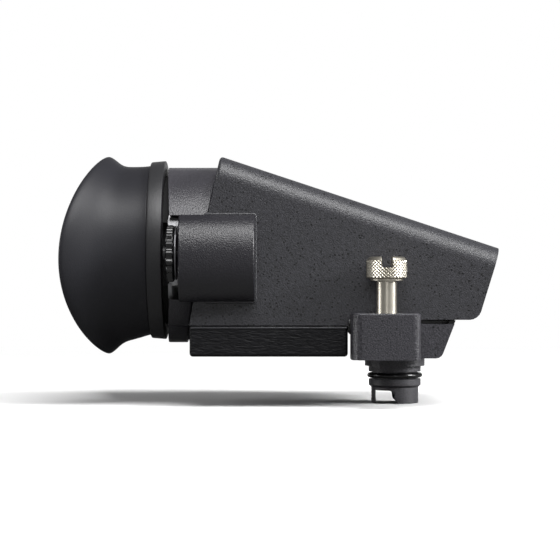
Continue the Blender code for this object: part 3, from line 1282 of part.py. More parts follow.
def hang_moving_pieces():
    housing = (
        "upper_casing", "bottom_cover", "cover_screw_1", "cover_screw_2", "cover_screw_3",
        "cover_screw_4", "eyepiece_tube", "inner_barrel", "diopter_housing", "hinge_bracket",
        "bracket_screw_near", "bracket_screw_far", "main_board", "display_frame",
        "frame_screw_near", "frame_screw_far", "display_panel", "display_board", "display_flex",
        "housing_flex", "lead_screw_bearing", "eyepiece_window", "window_retainer", "wheel_washer",
    )
    lenses = ("lens_carriage", "lens_1", "lens_2", "lens_3", "lens_retainer")
    tilt = hang("housing_tilt_axis", (PIVOT_X, 0, PIVOT_Z), housing)
    wheel = hang("diopter_axis", (WHEEL_REAR_X, WHEEL_Y, WHEEL_Z), ("diopter_wheel", "lead_screw"))
    focus = hang("focus_axis", (CARRIAGE_REAR_X, 0, AXIS_Z), lenses)
    eyecup = hang("eyecup_axis", (RING_REAR_X, 0, AXIS_Z), ("eyecup_ring", "eyecup_rubber"))
    for child in (wheel, focus, eyecup):
        child.parent = tilt
        child.matrix_parent_inverse = Matrix.Translation(-Vector(tilt.location))
    for side, y in screw_sites():
        fittings = (side + "_thumbscrew", side + "_screw_clip", side + "_spring_washer")
        hang(side + "_screw_axis", (SCREW_X, y, 0), fittings)


def build():
    clear_scene()
    make_foot()
    make_yoke()
    make_hinge_shaft()
    make_plug()
    make_plug_nut()
    make_oring()
    make_contacts()
    for side, y in screw_sites():
        make_screw_fittings(side, y)
        make_thumbscrew(side, y)
        make_spring(side, y)
    make_casing()
    make_cover()
    make_tube()
    make_barrel()
    make_window()
    make_bracket()
    make_diopter_housing()
    make_bearing()
    make_wheel_washer()
    make_wheel()
    make_lead_screw()
    make_carriage()
    for index, bulge in enumerate(LENS_BULGES):
        make_lens(index, bulge)
    make_lens_retainer()
    make_eyecup_ring()
    make_eyecup()
    make_display()
    make_main_board()
    make_flexes()
    make_screws()
    hang_moving_pieces()


build()
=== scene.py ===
# %% [markdown]
# # An electronic viewfinder in Blender
#
# This lesson dresses a finished mechanical model of an electronic viewfinder.
# The plain solids are loaded first. They say where every piece is and how it moves.
# Each step then gives a finish to a solid, or puts a finer piece in its place.

# %% Load the frame
import math

import bmesh
import bpy
from mathutils import Matrix, Vector


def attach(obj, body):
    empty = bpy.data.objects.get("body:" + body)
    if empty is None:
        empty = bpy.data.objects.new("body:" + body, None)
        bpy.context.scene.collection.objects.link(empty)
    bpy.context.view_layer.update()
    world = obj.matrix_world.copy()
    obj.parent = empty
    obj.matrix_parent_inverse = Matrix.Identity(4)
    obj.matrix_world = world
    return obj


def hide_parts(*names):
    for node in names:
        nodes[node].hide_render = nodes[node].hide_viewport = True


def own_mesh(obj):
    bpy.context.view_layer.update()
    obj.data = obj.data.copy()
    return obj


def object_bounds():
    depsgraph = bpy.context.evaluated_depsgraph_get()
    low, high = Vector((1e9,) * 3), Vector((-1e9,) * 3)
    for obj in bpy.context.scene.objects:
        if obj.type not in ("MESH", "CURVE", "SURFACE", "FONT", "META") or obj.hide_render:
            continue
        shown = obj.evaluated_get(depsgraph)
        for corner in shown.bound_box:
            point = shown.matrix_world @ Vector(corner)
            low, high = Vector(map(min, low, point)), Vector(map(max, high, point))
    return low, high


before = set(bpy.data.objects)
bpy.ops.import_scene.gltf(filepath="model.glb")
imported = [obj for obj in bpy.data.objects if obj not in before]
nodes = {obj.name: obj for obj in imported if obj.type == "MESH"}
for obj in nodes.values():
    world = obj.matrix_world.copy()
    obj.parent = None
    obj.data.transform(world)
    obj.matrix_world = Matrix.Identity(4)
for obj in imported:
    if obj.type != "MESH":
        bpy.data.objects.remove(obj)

cad_low, cad_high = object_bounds()
print("CAD box in mm:", [round(1000 * side, 1) for side in cad_high - cad_low])

# %% [markdown]
# ## The camera
#
# The photograph looks straight at the near side from about half a metre away. A wide lens
# close by and a long lens far off could frame the object alike, but the curved edges of
# the eyecup's ring show how strong the perspective is, and they come out right from here.
# The camera stands a little to the left of the plug, because the object spreads further
# to that side.

# %% Camera
MM = 0.001
EYE = Vector((-36.7, -560.0, 23.9)) * MM
LENS_MM = 112.5
SENSOR_MM = 36.0
NEAREST = 10 * MM
FURTHEST = 20


def make_camera():
    data = bpy.data.cameras.new("camera")
    data.lens = LENS_MM
    data.sensor_width = SENSOR_MM
    data.clip_start = NEAREST
    data.clip_end = FURTHEST
    camera = bpy.data.objects.new("camera", data)
    camera.location = EYE
    camera.rotation_euler = (math.radians(90), 0, 0)
    bpy.context.scene.collection.objects.link(camera)
    return camera


bpy.context.scene.camera = make_camera()
bpy.context.scene.view_settings.view_transform = "Standard"
print("camera at", [round(value, 3) for value in EYE])

# %% [markdown]
# ## Two small helpers for materials
#
# Colours are written as the hex values that a screen shows, so one function turns them
# into the linear numbers that a shader works with. A second function adds one node, sets
# its properties, and fills or links its inputs. Every material below is made with it.

# %% Colour and node helpers
def linear(hex_colour):
    """The linear colour of an sRGB hex value such as "8a8a8c"."""
    channels = [int(hex_colour[i:i + 2], 16) / 255 for i in (0, 2, 4)]
    curve = [c / 12.92 if c <= 0.04045 else ((c + 0.055) / 1.055) ** 2.4 for c in channels]
    return (*curve, 1)


def add_node(tree, kind, inputs=None, **settings):
    """Adds a node. Each input is a value, or the output socket that feeds it."""
    made = tree.nodes.new(kind)
    for name, value in settings.items():
        setattr(made, name, value)
    for name, value in (inputs or {}).items():
        if isinstance(value, bpy.types.NodeSocket):
            tree.links.new(value, made.inputs[name])
        else:
            made.inputs[name].default_value = value
    return made


WHITE = (1, 1, 1, 1)
print("linear value of 808080:", round(linear("808080")[0], 3))

# %% [markdown]
# ## Studio
#
# The photograph was taken in a white studio. One picture of the whole studio could light
# the object, but a few plain lamps can each be moved until their highlights lie where the
# photograph has them. A wide key box hangs above and in front of the near side, and its
# shine sits on every surface that leans back by about 30 degrees. A small strong box
# stands at the right. Two strips at the left and right and a narrow card near the camera
# draw the bright lines on the nickel-plated screws.
#
# The world itself is dim. For mirrored rays it rises to white only straight behind the
# object, because with white all round every top edge gets a pale line that the photograph
# doesn't have. The camera, and all that is seen through clear things, gets plain white.

# %% World
WORLD_LIGHT = 0.14
FRONT_SHINE = 0.18
# How far a mirrored ray points away from the camera, where 1 is straight away from it.
SHINE_RISES_FROM = 0.86
SHINE_IS_WHITE_AT = 0.995


def seen_directly(tree):
    """1 for camera rays and for rays that come through clear things, and 0 for all others."""
    rays = add_node(tree, "ShaderNodeLightPath")
    either = add_node(tree, "ShaderNodeMath", {
        0: rays.outputs["Is Camera Ray"], 1: rays.outputs["Is Transmission Ray"],
    }, operation="MAXIMUM")
    return either.outputs[0]


def make_world():
    world = bpy.data.worlds.new("studio")
    bpy.context.scene.world = world
    world.use_nodes = True
    tree = world.node_tree
    tree.nodes.clear()
    rays = add_node(tree, "ShaderNodeLightPath")
    towards = add_node(tree, "ShaderNodeTexCoord")
    split = add_node(tree, "ShaderNodeSeparateXYZ", {"Vector": towards.outputs["Generated"]})
    backdrop = add_node(tree, "ShaderNodeMapRange", {
        "Value": split.outputs["Y"], "To Min": FRONT_SHINE,
        "From Min": SHINE_RISES_FROM, "From Max": SHINE_IS_WHITE_AT,
    }, interpolation_type="SMOOTHSTEP")
    light = add_node(tree, "ShaderNodeMix", {
        "Factor": rays.outputs["Is Glossy Ray"], "A": WORLD_LIGHT, "B": backdrop.outputs[0],
    })
    strength = add_node(tree, "ShaderNodeMix", {
        "Factor": seen_directly(tree), "A": light.outputs[0], "B": 1.0,
    })
    sky = add_node(tree, "ShaderNodeBackground", {
        "Strength": strength.outputs[0], "Color": WHITE,
    })
    add_node(tree, "ShaderNodeOutputWorld", {"Surface": sky.outputs[0]})


make_world()
print("world light", WORLD_LIGHT)

# %% Lamps
AIM = Vector((-30, 0, 20)) * MM
# Each lamp's name, its direction as seen from the object, its distance, width and height
# in metres, and its radiance.
LAMPS = (
    ("key_box", (0.15, -0.51, 0.85), 0.9, 0.72, 0.42, 13.8),
    ("side_box", (0.85, -0.28, 0.42), 0.8, 0.25, 0.25, 44.0),
    ("left_strip", (-1, -0.05, 0.12), 0.8, 0.15, 0.4, 19.0),
    ("right_strip", (1, -0.05, 0.12), 0.8, 0.14, 0.4, 11.0),
    ("camera_card", (0.04, -1, 0.1), 0.8, 0.06, 0.25, 7.0),
)


def make_lamp(name, direction, distance, width, height, radiance):
    """An area lamp that looks at the object. Its power follows from its radiance and size."""
    data = bpy.data.lights.new(name, "AREA")
    data.shape = "RECTANGLE"
    data.size = width
    data.size_y = height
    data.energy = radiance * math.pi * width * height
    lamp = bpy.data.objects.new(name, data)
    lamp.location = AIM + Vector(direction).normalized() * distance
    lamp.rotation_euler = Vector(direction).to_track_quat("Z", "Y").to_euler()
    bpy.context.scene.collection.objects.link(lamp)
    print(name, "power", round(data.energy, 2), "W")


for lamp in LAMPS:
    make_lamp(*lamp)

# %% [markdown]
# ## Floor
#
# The floor is a wide disc of white paper just below the plug. A curved backdrop would do
# as well, but a flat disc is enough where the world behind it is plain white. Near the
# object it is an ordinary matt surface, so it keeps the shadow. Towards its rim it blends
# into a glow of strength 1, and so its edge doesn't show against the white world.
#
# For the rays that leave the object the floor is painted in shade: matt pieces get dark
# grey back from it instead of white, and mirrored rays find a mid grey there, which keeps
# the undersides dark. From below the floor is clear, so that the underside can be seen.

# %% Floor
FLOOR_GAP = 0.1 * MM
FLOOR_RADIUS = 0.9
FLOOR_CORNERS = 96
SHADOW_RADIUS = 0.14
GLOW_RADIUS = FLOOR_RADIUS / 2
FLOOR_WHITE = "f2f2f2"
# Painted shade: the greys that the floor shows to bounced light and to mirrored rays.
FLOOR_SHADE_BOUNCED = "505050"
FLOOR_SHADE_MIRRORED = "787878"


def make_floor(z):
    bm = bmesh.new()
    bmesh.ops.create_circle(bm, cap_ends=True, radius=FLOOR_RADIUS, segments=FLOOR_CORNERS)
    bmesh.ops.translate(bm, verts=bm.verts, vec=(AIM.x, 0, z))
    mesh = bpy.data.meshes.new("floor")
    bm.to_mesh(mesh)
    bm.free()
    floor = bpy.data.objects.new("floor", mesh)
    bpy.context.scene.collection.objects.link(floor)
    return floor


def make_paper():
    """White uncoated paper with no shine, in painted shade for bounced and mirrored rays."""
    paper = bpy.data.materials.new("matt_white_paper")
    paper.use_nodes = True
    tree = paper.node_tree
    tree.nodes.clear()
    place = add_node(tree, "ShaderNodeTexCoord")
    apart = add_node(tree, "ShaderNodeVectorMath", {
        0: place.outputs["Object"], 1: tuple(AIM),
    }, operation="DISTANCE")
    fade = add_node(tree, "ShaderNodeMapRange", {
        "Value": apart.outputs["Value"], "From Min": SHADOW_RADIUS, "From Max": GLOW_RADIUS,
    }, interpolation_type="SMOOTHSTEP")
    seen = seen_directly(tree)
    share = add_node(tree, "ShaderNodeMath", {
        0: fade.outputs[0], 1: seen,
    }, operation="MULTIPLY")
    rays = add_node(tree, "ShaderNodeLightPath")
    # Painted shade: grey in place of the white paper for bounced and mirrored rays.
    painted_shade_tone = add_node(tree, "ShaderNodeMix", {
        "Factor": rays.outputs["Is Glossy Ray"], 6: linear(FLOOR_SHADE_BOUNCED), 7: linear(FLOOR_SHADE_MIRRORED),
    }, data_type="RGBA")
    colour = add_node(tree, "ShaderNodeMix", {
        "Factor": seen, 6: painted_shade_tone.outputs[2], 7: linear(FLOOR_WHITE),
    }, data_type="RGBA")
    matt = add_node(tree, "ShaderNodeBsdfDiffuse", {"Color": colour.outputs[2]})
    glow = add_node(tree, "ShaderNodeEmission", {"Color": WHITE})
    both = add_node(tree, "ShaderNodeMixShader", {
        0: share.outputs[0], 1: matt.outputs[0], 2: glow.outputs[0],
    })
    side = add_node(tree, "ShaderNodeNewGeometry")
    clear = add_node(tree, "ShaderNodeBsdfTransparent")
    one_sided = add_node(tree, "ShaderNodeMixShader", {
        0: side.outputs["Backfacing"], 1: both.outputs[0], 2: clear.outputs[0],
    })
    add_node(tree, "ShaderNodeOutputMaterial", {"Surface": one_sided.outputs[0]})
    return paper


floor_z = cad_low.z - FLOOR_GAP
floor = make_floor(floor_z)
floor.data.materials.append(make_paper())
print("floor at", round(1000 * floor_z, 1), "mm")

# %% [markdown]
# ## Starting a finish
#
# All finishes begin in the same way: a Principled shader, an output, and the place on the
# object in millimetres. With the place in millimetres, a noise whose waves are 0.5 mm wide
# has a scale of 2, so the scales follow from real sizes. Unwrapping every piece would give
# a place too, but none of these patterns follows the run of a surface, so it isn't needed.

# %% Start of a finish
finishes = {}


def start_finish(name, colour, roughness, **shader):
    """A new material: its tree, its shader, and the place in millimetres as an output."""
    material = bpy.data.materials.new(name)
    material.use_nodes = True
    tree = material.node_tree
    tree.nodes.clear()
    inputs = {"Base Color": linear(colour), "Roughness": roughness}
    inputs.update({key.replace("_", " "): value for key, value in shader.items()})
    surface = add_node(tree, "ShaderNodeBsdfPrincipled", inputs)
    add_node(tree, "ShaderNodeOutputMaterial", {"Surface": surface.outputs[0]})
    where = add_node(tree, "ShaderNodeTexCoord")
    in_mm = add_node(tree, "ShaderNodeVectorMath", {
        0: where.outputs["Object"], "Scale": 1 / MM,
    }, operation="SCALE")
    return material, tree, surface, in_mm.outputs[0]


def mix_colours(tree, share, low, high):
    """A colour that goes from one to the other as the share goes from 0 to 1."""
    mixed = add_node(tree, "ShaderNodeMix", {"Factor": share, 6: low, 7: high}, data_type="RGBA")
    return mixed.outputs[2]


def raise_surface(tree, surface, height, depth_mm):
    """Feeds a height pattern to the shader as bump."""
    bump = add_node(tree, "ShaderNodeBump", {
        "Height": height, "Strength": 1.0, "Distance": depth_mm * MM,
    })
    tree.links.new(bump.outputs[0], surface.inputs["Normal"])


# %% [markdown]
# ## Textured paint
#
# The casing and the foot are die-cast metal under a textured powder paint. It sets in
# small round lumps, so its shine breaks up into bright grains, and here and there the
# paint has drawn back into a tiny dark pit. The foot's coat is a little coarser. The coats
# of the tube, the plug and the wheel's housing have no pits, and the last is the darkest.
#
# Real lumps could be raised in the mesh, but they would need millions of faces, so a noise
# raises them in the shader. They are drawn about twice as wide as real ones, which would
# be finer than a pixel. The pits sit in the middle of cells, and come in loose clusters.

# %% Textured powder paint
LUMP_DETAIL = 2.5
LUMP_FOOT = 0.3
LUMP_TOP = 0.7
PIT_COLOUR = "0c0c0d"
PIT_CELL_MM = 1.0
CLOUD_SCALE = 0.18
FEWEST_PITS_AT = 0.95
MOST_PITS_AT = 1.35


def make_paint(name, colour, dark, roughness, lump_mm, depth_mm, pit_share, shine):
    material, tree, surface, place = start_finish(name, colour, roughness,
                                                  Specular_IOR_Level=shine)
    lumps = add_node(tree, "ShaderNodeTexNoise", {
        "Vector": place, "Scale": 1 / lump_mm, "Detail": LUMP_DETAIL,
    })
    clouds = add_node(tree, "ShaderNodeTexNoise", {
        "Vector": place, "Scale": CLOUD_SCALE, "Detail": 1,
    })
    cells = add_node(tree, "ShaderNodeTexVoronoi", {"Vector": place, "Scale": 1 / PIT_CELL_MM})
    luck = add_node(tree, "ShaderNodeMath", {
        0: clouds.outputs["Fac"], 1: cells.outputs["Color"],
    }, operation="ADD")
    reach = add_node(tree, "ShaderNodeMapRange", {
        "Value": luck.outputs[0], "To Min": 0, "To Max": pit_share,
        "From Min": FEWEST_PITS_AT, "From Max": MOST_PITS_AT,
    })
    pit = add_node(tree, "ShaderNodeMath", {
        0: cells.outputs["Distance"], 1: reach.outputs[0],
    }, operation="LESS_THAN")
    grain = add_node(tree, "ShaderNodeMapRange", {
        "Value": lumps.outputs["Fac"], "From Min": LUMP_FOOT, "From Max": LUMP_TOP,
    })
    tone = mix_colours(tree, grain.outputs[0], linear(dark), linear(colour))
    pitted = mix_colours(tree, pit.outputs[0], tone, linear(PIT_COLOUR))
    tree.links.new(pitted, surface.inputs["Base Color"])
    raise_surface(tree, surface, lumps.outputs["Fac"], depth_mm)
    return material


# %% Five coats of it
# For each finish: the paint's name, its colour on the lumps and between them, its
# roughness, the width and height of the lumps in mm, how far the largest pit reaches in
# its cell, and the strength of the shine.
PAINTS = {
    "textured_paint": ("textured_powder_paint", "37373b", "252527", 0.32, 0.4, 0.15, 0.3, 0.36),
    "foot_paint": ("foot_powder_paint", "3f3e43", "1d1d20", 0.32, 0.46, 0.18, 0.33, 0.36),
    "fine_paint": ("fine_powder_paint", "1d1c21", "151419", 0.35, 0.4, 0.14, 0.0, 0.43),
    "tube_paint": ("tube_powder_paint", "3c3b40", "2d2c30", 0.34, 0.4, 0.14, 0.0, 0.36),
    "plug_paint": ("plug_powder_paint", "4e4d51", "323235", 0.38, 0.32, 0.1, 0.0, 0.36),
}
for finish, values in PAINTS.items():
    finishes[finish] = make_paint(*values)
print(len(PAINTS), "coats of paint")

# %% [markdown]
# ## Grained moulding
#
# The bottom cover is moulded ABS. The mould was etched, which leaves a rippled grain that
# runs lengthwise. A picture of such a grain would need an unwrapped cover, so a noise that
# is stretched lengthwise stands in for it. Its ripples are drawn 0.7 mm high and 2 mm long,
# which is coarser than real ones, because those wouldn't show in the picture.

# %% Grained moulding
RIPPLE_SCALES = (0.45, 0.45, 1.5)
RIPPLE_DEPTH_MM = 0.35


def make_grained_moulding():
    material, tree, surface, place = start_finish("grained_abs", "212123", 0.5,
                                                  Specular_IOR_Level=0.15)
    stretched = add_node(tree, "ShaderNodeMapping", {"Vector": place, "Scale": RIPPLE_SCALES})
    ripple = add_node(tree, "ShaderNodeTexNoise", {
        "Vector": stretched.outputs[0], "Scale": 1, "Detail": 2, "Distortion": 0.6,
    })
    raise_surface(tree, surface, ripple.outputs["Fac"], RIPPLE_DEPTH_MM)
    tone = mix_colours(tree, ripple.outputs["Fac"], linear("080809"), linear("18181b"))
    tree.links.new(tone, surface.inputs["Base Color"])
    return material


finishes["dark_cover"] = make_grained_moulding()
print("cover ripples", RIPPLE_DEPTH_MM, "mm deep")

# %% [markdown]
# ## Rubber, acetal and other smooth surfaces
#
# The smooth pieces differ in colour, gloss and grain only, so one function makes them all.
# A plain shader would look like wet paint: even a polished moulding is a little uneven, so
# each gets a fine noise in its height and a slight change in its gloss.

# %% Smooth surfaces
SHINIEST = 0.85
DULLEST = 1.15


def make_smooth(name, colour, roughness, lump_mm, depth_mm, **shader):
    """A surface with one fine noise in its height, and a slight change in its gloss."""
    material, tree, surface, place = start_finish(name, colour, roughness, **shader)
    lumps = add_node(tree, "ShaderNodeTexNoise", {
        "Vector": place, "Scale": 1 / lump_mm, "Detail": 2,
    })
    gloss = add_node(tree, "ShaderNodeMapRange", {
        "Value": lumps.outputs["Fac"],
        "To Min": roughness * SHINIEST, "To Max": roughness * DULLEST,
    })
    tree.links.new(gloss.outputs[0], surface.inputs["Roughness"])
    raise_surface(tree, surface, lumps.outputs["Fac"], depth_mm)
    return material


# Moulded silicone is soft to the eye: a broad, weak shine.
finishes["rubber"] = make_smooth("silicone_rubber", "1e1e22", 0.46, 0.35, 0.03,
                                 Specular_IOR_Level=0.25)
# The ring's rubber is harder, and its edges shine a little more.
finishes["ring_rubber"] = make_smooth("moulded_rubber_ring", "202022", 0.44, 0.35, 0.05,
                                      Specular_IOR_Level=0.38)
# A nitrile sealing ring is greased, so it mirrors the lamps as thin lines.
finishes["oring_rubber"] = make_smooth("nitrile_rubber", "101011", 0.22, 1.0, 0.0)
# Polished acetal is nearly black, with small sharp highlights on each tooth of the wheel.
finishes["black_plastic"] = make_smooth("polished_acetal", "0b0b0c", 0.22, 0.5, 0.01,
                                        Specular_IOR_Level=0.5)
# Anodised aluminium that was dyed black has the fine satin grain of its blasting.
finishes["black_anodised"] = make_smooth("black_anodised_aluminium", "1a1a1c", 0.4, 0.2, 0.01)
# Circuit boards: green solder resist over glass fibre, half shiny.
finishes["board"] = make_smooth("solder_resist", "12402a", 0.4, 1.0, 0.01)
# The display is dark glass, and mirrors clearly.
finishes["screen"] = make_smooth("display_glass", "08080c", 0.08, 5.0, 0.0)
# The flexes are amber polyimide film.
finishes["flex"] = make_smooth("polyimide_film", "8c4a14", 0.35, 1.0, 0.01)
# The lenses are polished glass under a thin coating, which tints them slightly blue.
finishes["glass"] = make_smooth("coated_glass", "f0f4ff", 0.02, 5.0, 0.0,
                                Transmission_Weight=1.0)
print(len(finishes), "finishes without the metals")

# %% [markdown]
# ## Metals
#
# The thumbscrews are brass or steel under satin nickel, which is a little warm. Springs,
# washers and screws are steel: plain, dulled, or black from an oxide bath. The contacts
# are gold plated. A metal's colour is that of its shine, so the same function serves, with
# the shader's Metallic at 1.
#
# The inner barrel is turned aluminium. It is bare where the wheel's window shows it and
# anodised black on the eye side. The black part is painted shade too: it reaches as far as
# the shade in the gap under the eyecup's ring, and it is made very dull. Two objects could
# carry the two finishes, but it is one piece of metal, so one material switches at a place
# along it.

# %% Metals
finishes["nickel"] = make_smooth("satin_nickel", "b8b3a7", 0.35, 0.25, 0.01, Metallic=1.0)
finishes["steel"] = make_smooth("plain_steel", "a8a8aa", 0.3, 0.2, 0.01, Metallic=1.0)
finishes["oxidised_steel"] = make_smooth("black_oxide_steel", "161617", 0.5, 0.2, 0.01)
finishes["dull_steel"] = make_smooth("dull_steel", "5c5c5e", 0.5, 0.2, 0.01, Metallic=1.0)
finishes["gold"] = make_smooth("gold_plate", "e2b860", 0.25, 0.2, 0.01, Metallic=1.0)
finishes["bare_liner"] = make_smooth("bare_aluminium", "808082", 0.5, 0.3, 0.01, Metallic=1.0)

# %% Turned barrel
# The bare edge is set where the ring's shade ends, and the dull black before it is painted shade.
BARE_FROM_X = -70.9
BARE_ROUGHNESS = 0.35
SHADE_DULLED_ROUGHNESS = 0.85


def make_barrel():
    """Turned aluminium, bare behind a place along the barrel, and before it anodised black and
    dulled as painted shade.
    """
    material, tree, surface, place = start_finish("turned_aluminium", "8e8e90", 0.3)
    split = add_node(tree, "ShaderNodeSeparateXYZ", {"Vector": place})
    bare = add_node(tree, "ShaderNodeMath", {
        0: split.outputs["X"], 1: BARE_FROM_X,
    }, operation="GREATER_THAN").outputs[0]
    # Near black: the anodising, and painted shade in the gap under the ring.
    tone = mix_colours(tree, bare, linear("0a0a0b"), linear("9a9a9c"))
    tree.links.new(tone, surface.inputs["Base Color"])
    tree.links.new(bare, surface.inputs["Metallic"])
    gloss = add_node(tree, "ShaderNodeMapRange", {
        "Value": bare, "To Min": SHADE_DULLED_ROUGHNESS, "To Max": BARE_ROUGHNESS,
    })
    tree.links.new(gloss.outputs[0], surface.inputs["Roughness"])
    return material


finishes["bare_barrel"] = make_barrel()
print(len(finishes), "finishes")

# %% [markdown]
# ## From a solid to a finer piece
#
# The solids have few faces and knife-sharp edges. Real mouldings and castings never do:
# every edge is slightly round and catches a line of light. For a plain moulding it is
# enough to take a copy of the solid, merge its loose triangles into one skin, join the
# triangles that lie in one plane, and bevel the edges that are sharper than an angle.
# Modelling it anew would give the same form with more work and less certain sizes.
# All modelling is done in millimetres, and the finished mesh is scaled down once.

# %% Copy and soften
MERGE_MM = 0.002
FLAT_WITHIN = math.radians(0.4)


def merged_copy(name):
    """A copy of a solid's mesh in millimetres: one skin, the triangles of each face joined."""
    bm = bmesh.new()
    bm.from_mesh(nodes[name].data)
    bmesh.ops.scale(bm, verts=bm.verts, vec=(1 / MM, 1 / MM, 1 / MM))
    bmesh.ops.remove_doubles(bm, verts=bm.verts, dist=MERGE_MM)
    bmesh.ops.dissolve_limit(bm, angle_limit=FLAT_WITHIN, verts=bm.verts, edges=bm.edges)
    return bm


def round_edges(bm, edges, width, segments):
    """Rounds some edges by a width in mm, in a number of steps."""
    bmesh.ops.bevel(bm, geom=edges, offset=width, segments=segments, profile=0.5,
                    affect="EDGES", clamp_overlap=True, material=-1)


def soften(bm, width, segments=3, sharper_than=35):
    """Rounds by a width in mm every edge that turns by more than an angle in degrees."""
    limit = math.radians(sharper_than)
    sharp = [edge for edge in bm.edges if edge.is_manifold and edge.calc_face_angle() > limit]
    round_edges(bm, sharp, width, segments)
    return bm


def show(name, bm, body, finish, *stands_for, sharp=50, even=False):
    """Turns a finished mesh in millimetres into a piece of the object that rides on a body."""
    bmesh.ops.scale(bm, verts=bm.verts, vec=(MM, MM, MM))
    mesh = bpy.data.meshes.new(name)
    bm.to_mesh(mesh)
    bm.free()
    piece = bpy.data.objects.new(name, mesh)
    bpy.context.scene.collection.objects.link(piece)
    mesh.materials.append(finishes[finish])
    mesh.shade_smooth()
    mesh.set_sharp_from_angle(angle=math.radians(sharp))
    if even:
        weighted = piece.modifiers.new("even_shading", "WEIGHTED_NORMAL")
        weighted.keep_sharp = True
    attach(piece, body)
    if stands_for:
        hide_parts(*stands_for)
    print(name, len(mesh.polygons), "faces on", body)
    return piece


# %% Castings and mouldings from their solids
for node, name, body, finish, width in (
    ("bottom_cover", "cover_shell", "finder_housing", "dark_cover", 0.5),
    ("inner_barrel", "barrel_shell", "finder_housing", "bare_barrel", 0.2),
    ("diopter_housing", "wheel_housing", "finder_housing", "fine_paint", 0.3),
    ("hinge_yoke", "yoke_plate", "foot", "black_anodised", 0.2),
):
    show(name, soften(merged_copy(node), width), body, finish, node, even=True)

# %% [markdown]
# ## Casing
#
# The casing is a die-cast shell in the shape of a wedge. The rounding between its roof and
# its sides is a little tighter than that of the solid. A new casing could be built with
# that radius, but then its openings would have to be cut again. So each point of the
# rounding keeps its angle and comes nearer to the corner, and the points at the casing's
# two ends stay in the planes of the ends. The rear edge of the roof is rounded more than
# the other edges, as the photograph shows at the top of the wedge.

# %% Casing
REAR_FOOT = Vector((-64.4, 0, 10))
REAR_TOP = Vector((-55.1, 0, 62.05))
NOSE_TOP = Vector((30.6, 0, 33.7))
NOSE_FOOT = Vector((23.8, 0, 11.75))
HALF_WIDTH = 27
SOLID_FILLET = 8.0
FILLET = 6.6
CLOSE = 0.01
ON_FILLET = 0.05


def tighten_roof(bm):
    """Moves the points of the rounding, and gives back how many there are."""
    roof = (NOSE_TOP - REAR_TOP).normalized()
    up = Vector((-roof.z, 0, roof.x))
    nearer = 1 - FILLET / SOLID_FILLET
    moved = 0
    for vert in bm.verts:
        aside = HALF_WIDTH - abs(vert.co.y)
        below = (REAR_TOP - vert.co).dot(up)
        from_centre = math.hypot(SOLID_FILLET - aside, SOLID_FILLET - below)
        off_fillet = abs(from_centre - SOLID_FILLET)
        if max(aside, below) < SOLID_FILLET + CLOSE and off_fillet < ON_FILLET:
            end = REAR_TOP - REAR_FOOT if vert.co.x < 0 else NOSE_TOP - NOSE_FOOT
            vert.co.y += math.copysign(nearer * aside, vert.co.y)
            vert.co += end * nearer * below / end.dot(up)
            moved += 1
    bm.normal_update()
    return moved


# %% Rear edge of the roof
REAR_ROUNDING = 1.1
REAR_SEGMENTS = 4
ROOF_EDGE_ABOVE = 10
SAME_DIRECTION = 0.999


def rear_roof_edges(bm):
    """The edges along the roof's rear end: one face is the end, the other faces outwards."""
    slope = (REAR_TOP - REAR_FOOT).normalized()
    backward = Vector((-slope.z, 0, slope.x))
    found = []
    for edge in bm.edges:
        others = [face for face in edge.link_faces if face.normal.dot(backward) < SAME_DIRECTION]
        if len(edge.link_faces) == 2 and len(others) == 1:
            out = (edge.verts[0].co + edge.verts[1].co - REAR_FOOT - REAR_TOP) / 2
            if others[0].normal.dot(out) > 1 and out.z > ROOF_EDGE_ABOVE:
                found.append(edge)
    return found


def make_casing():
    bm = merged_copy("upper_casing")
    moved = tighten_roof(bm)
    edges = rear_roof_edges(bm)
    print(moved, "points of the rounding moved,", len(edges), "edges at the roof's rear end")
    round_edges(bm, edges, REAR_ROUNDING, REAR_SEGMENTS)
    return soften(bm, 0.5)


show("casing_shell", make_casing(), "finder_housing", "textured_paint", "upper_casing", even=True)

# %% [markdown]
# ## Mounting foot
#
# The foot is a casting with two ears, which carry the thumbscrews. The outer corners of
# the ears are rounder than those of the solid. A bevel can't widen a rounding that is
# already there, so the points of a corner are moved out along their own directions from
# the old centre of the corner to a new one, and the corner keeps its facets.

# %% Foot
EAR_OUTER_Y = 40.5
SOLID_CORNER_RADIUS = 1.5
# For each corner: its x, the way out along x, the side along y, and its new radius.
EAR_CORNERS = ((-15.3, -1, -1, 3.6), (5.4, 1, -1, 2.6), (-11.4, -1, 1, 2.6), (5.4, 1, 1, 2.6))


def round_corner(bm, corner_x, outward_x, side, radius):
    """Gives one upright corner of an ear a larger radius."""
    old, new = (Vector((corner_x - outward_x * inset, side * (EAR_OUTER_Y - inset)))
                for inset in (SOLID_CORNER_RADIUS, radius))
    for vert in bm.verts:
        away = vert.co.xy - old
        if away.x * outward_x > -CLOSE and away.y * side > -CLOSE:
            reach = radius - SOLID_CORNER_RADIUS + away.length
            vert.co.xy = new + away.normalized() * reach


def make_foot():
    bm = merged_copy("mounting_foot")
    for corner in EAR_CORNERS:
        round_corner(bm, *corner)
    return soften(bm, 0.9)


show("foot_casting", make_foot(), "foot", "foot_paint", "mounting_foot", even=True)

# %% [markdown]
# ## Cutting and slicing
#
# A Boolean modifier cuts one closed mesh with another, which is the surest way to make a
# slot with sharp walls. A plane through a mesh only adds points along it, or drops all
# that lies on one side. The pieces below need both.

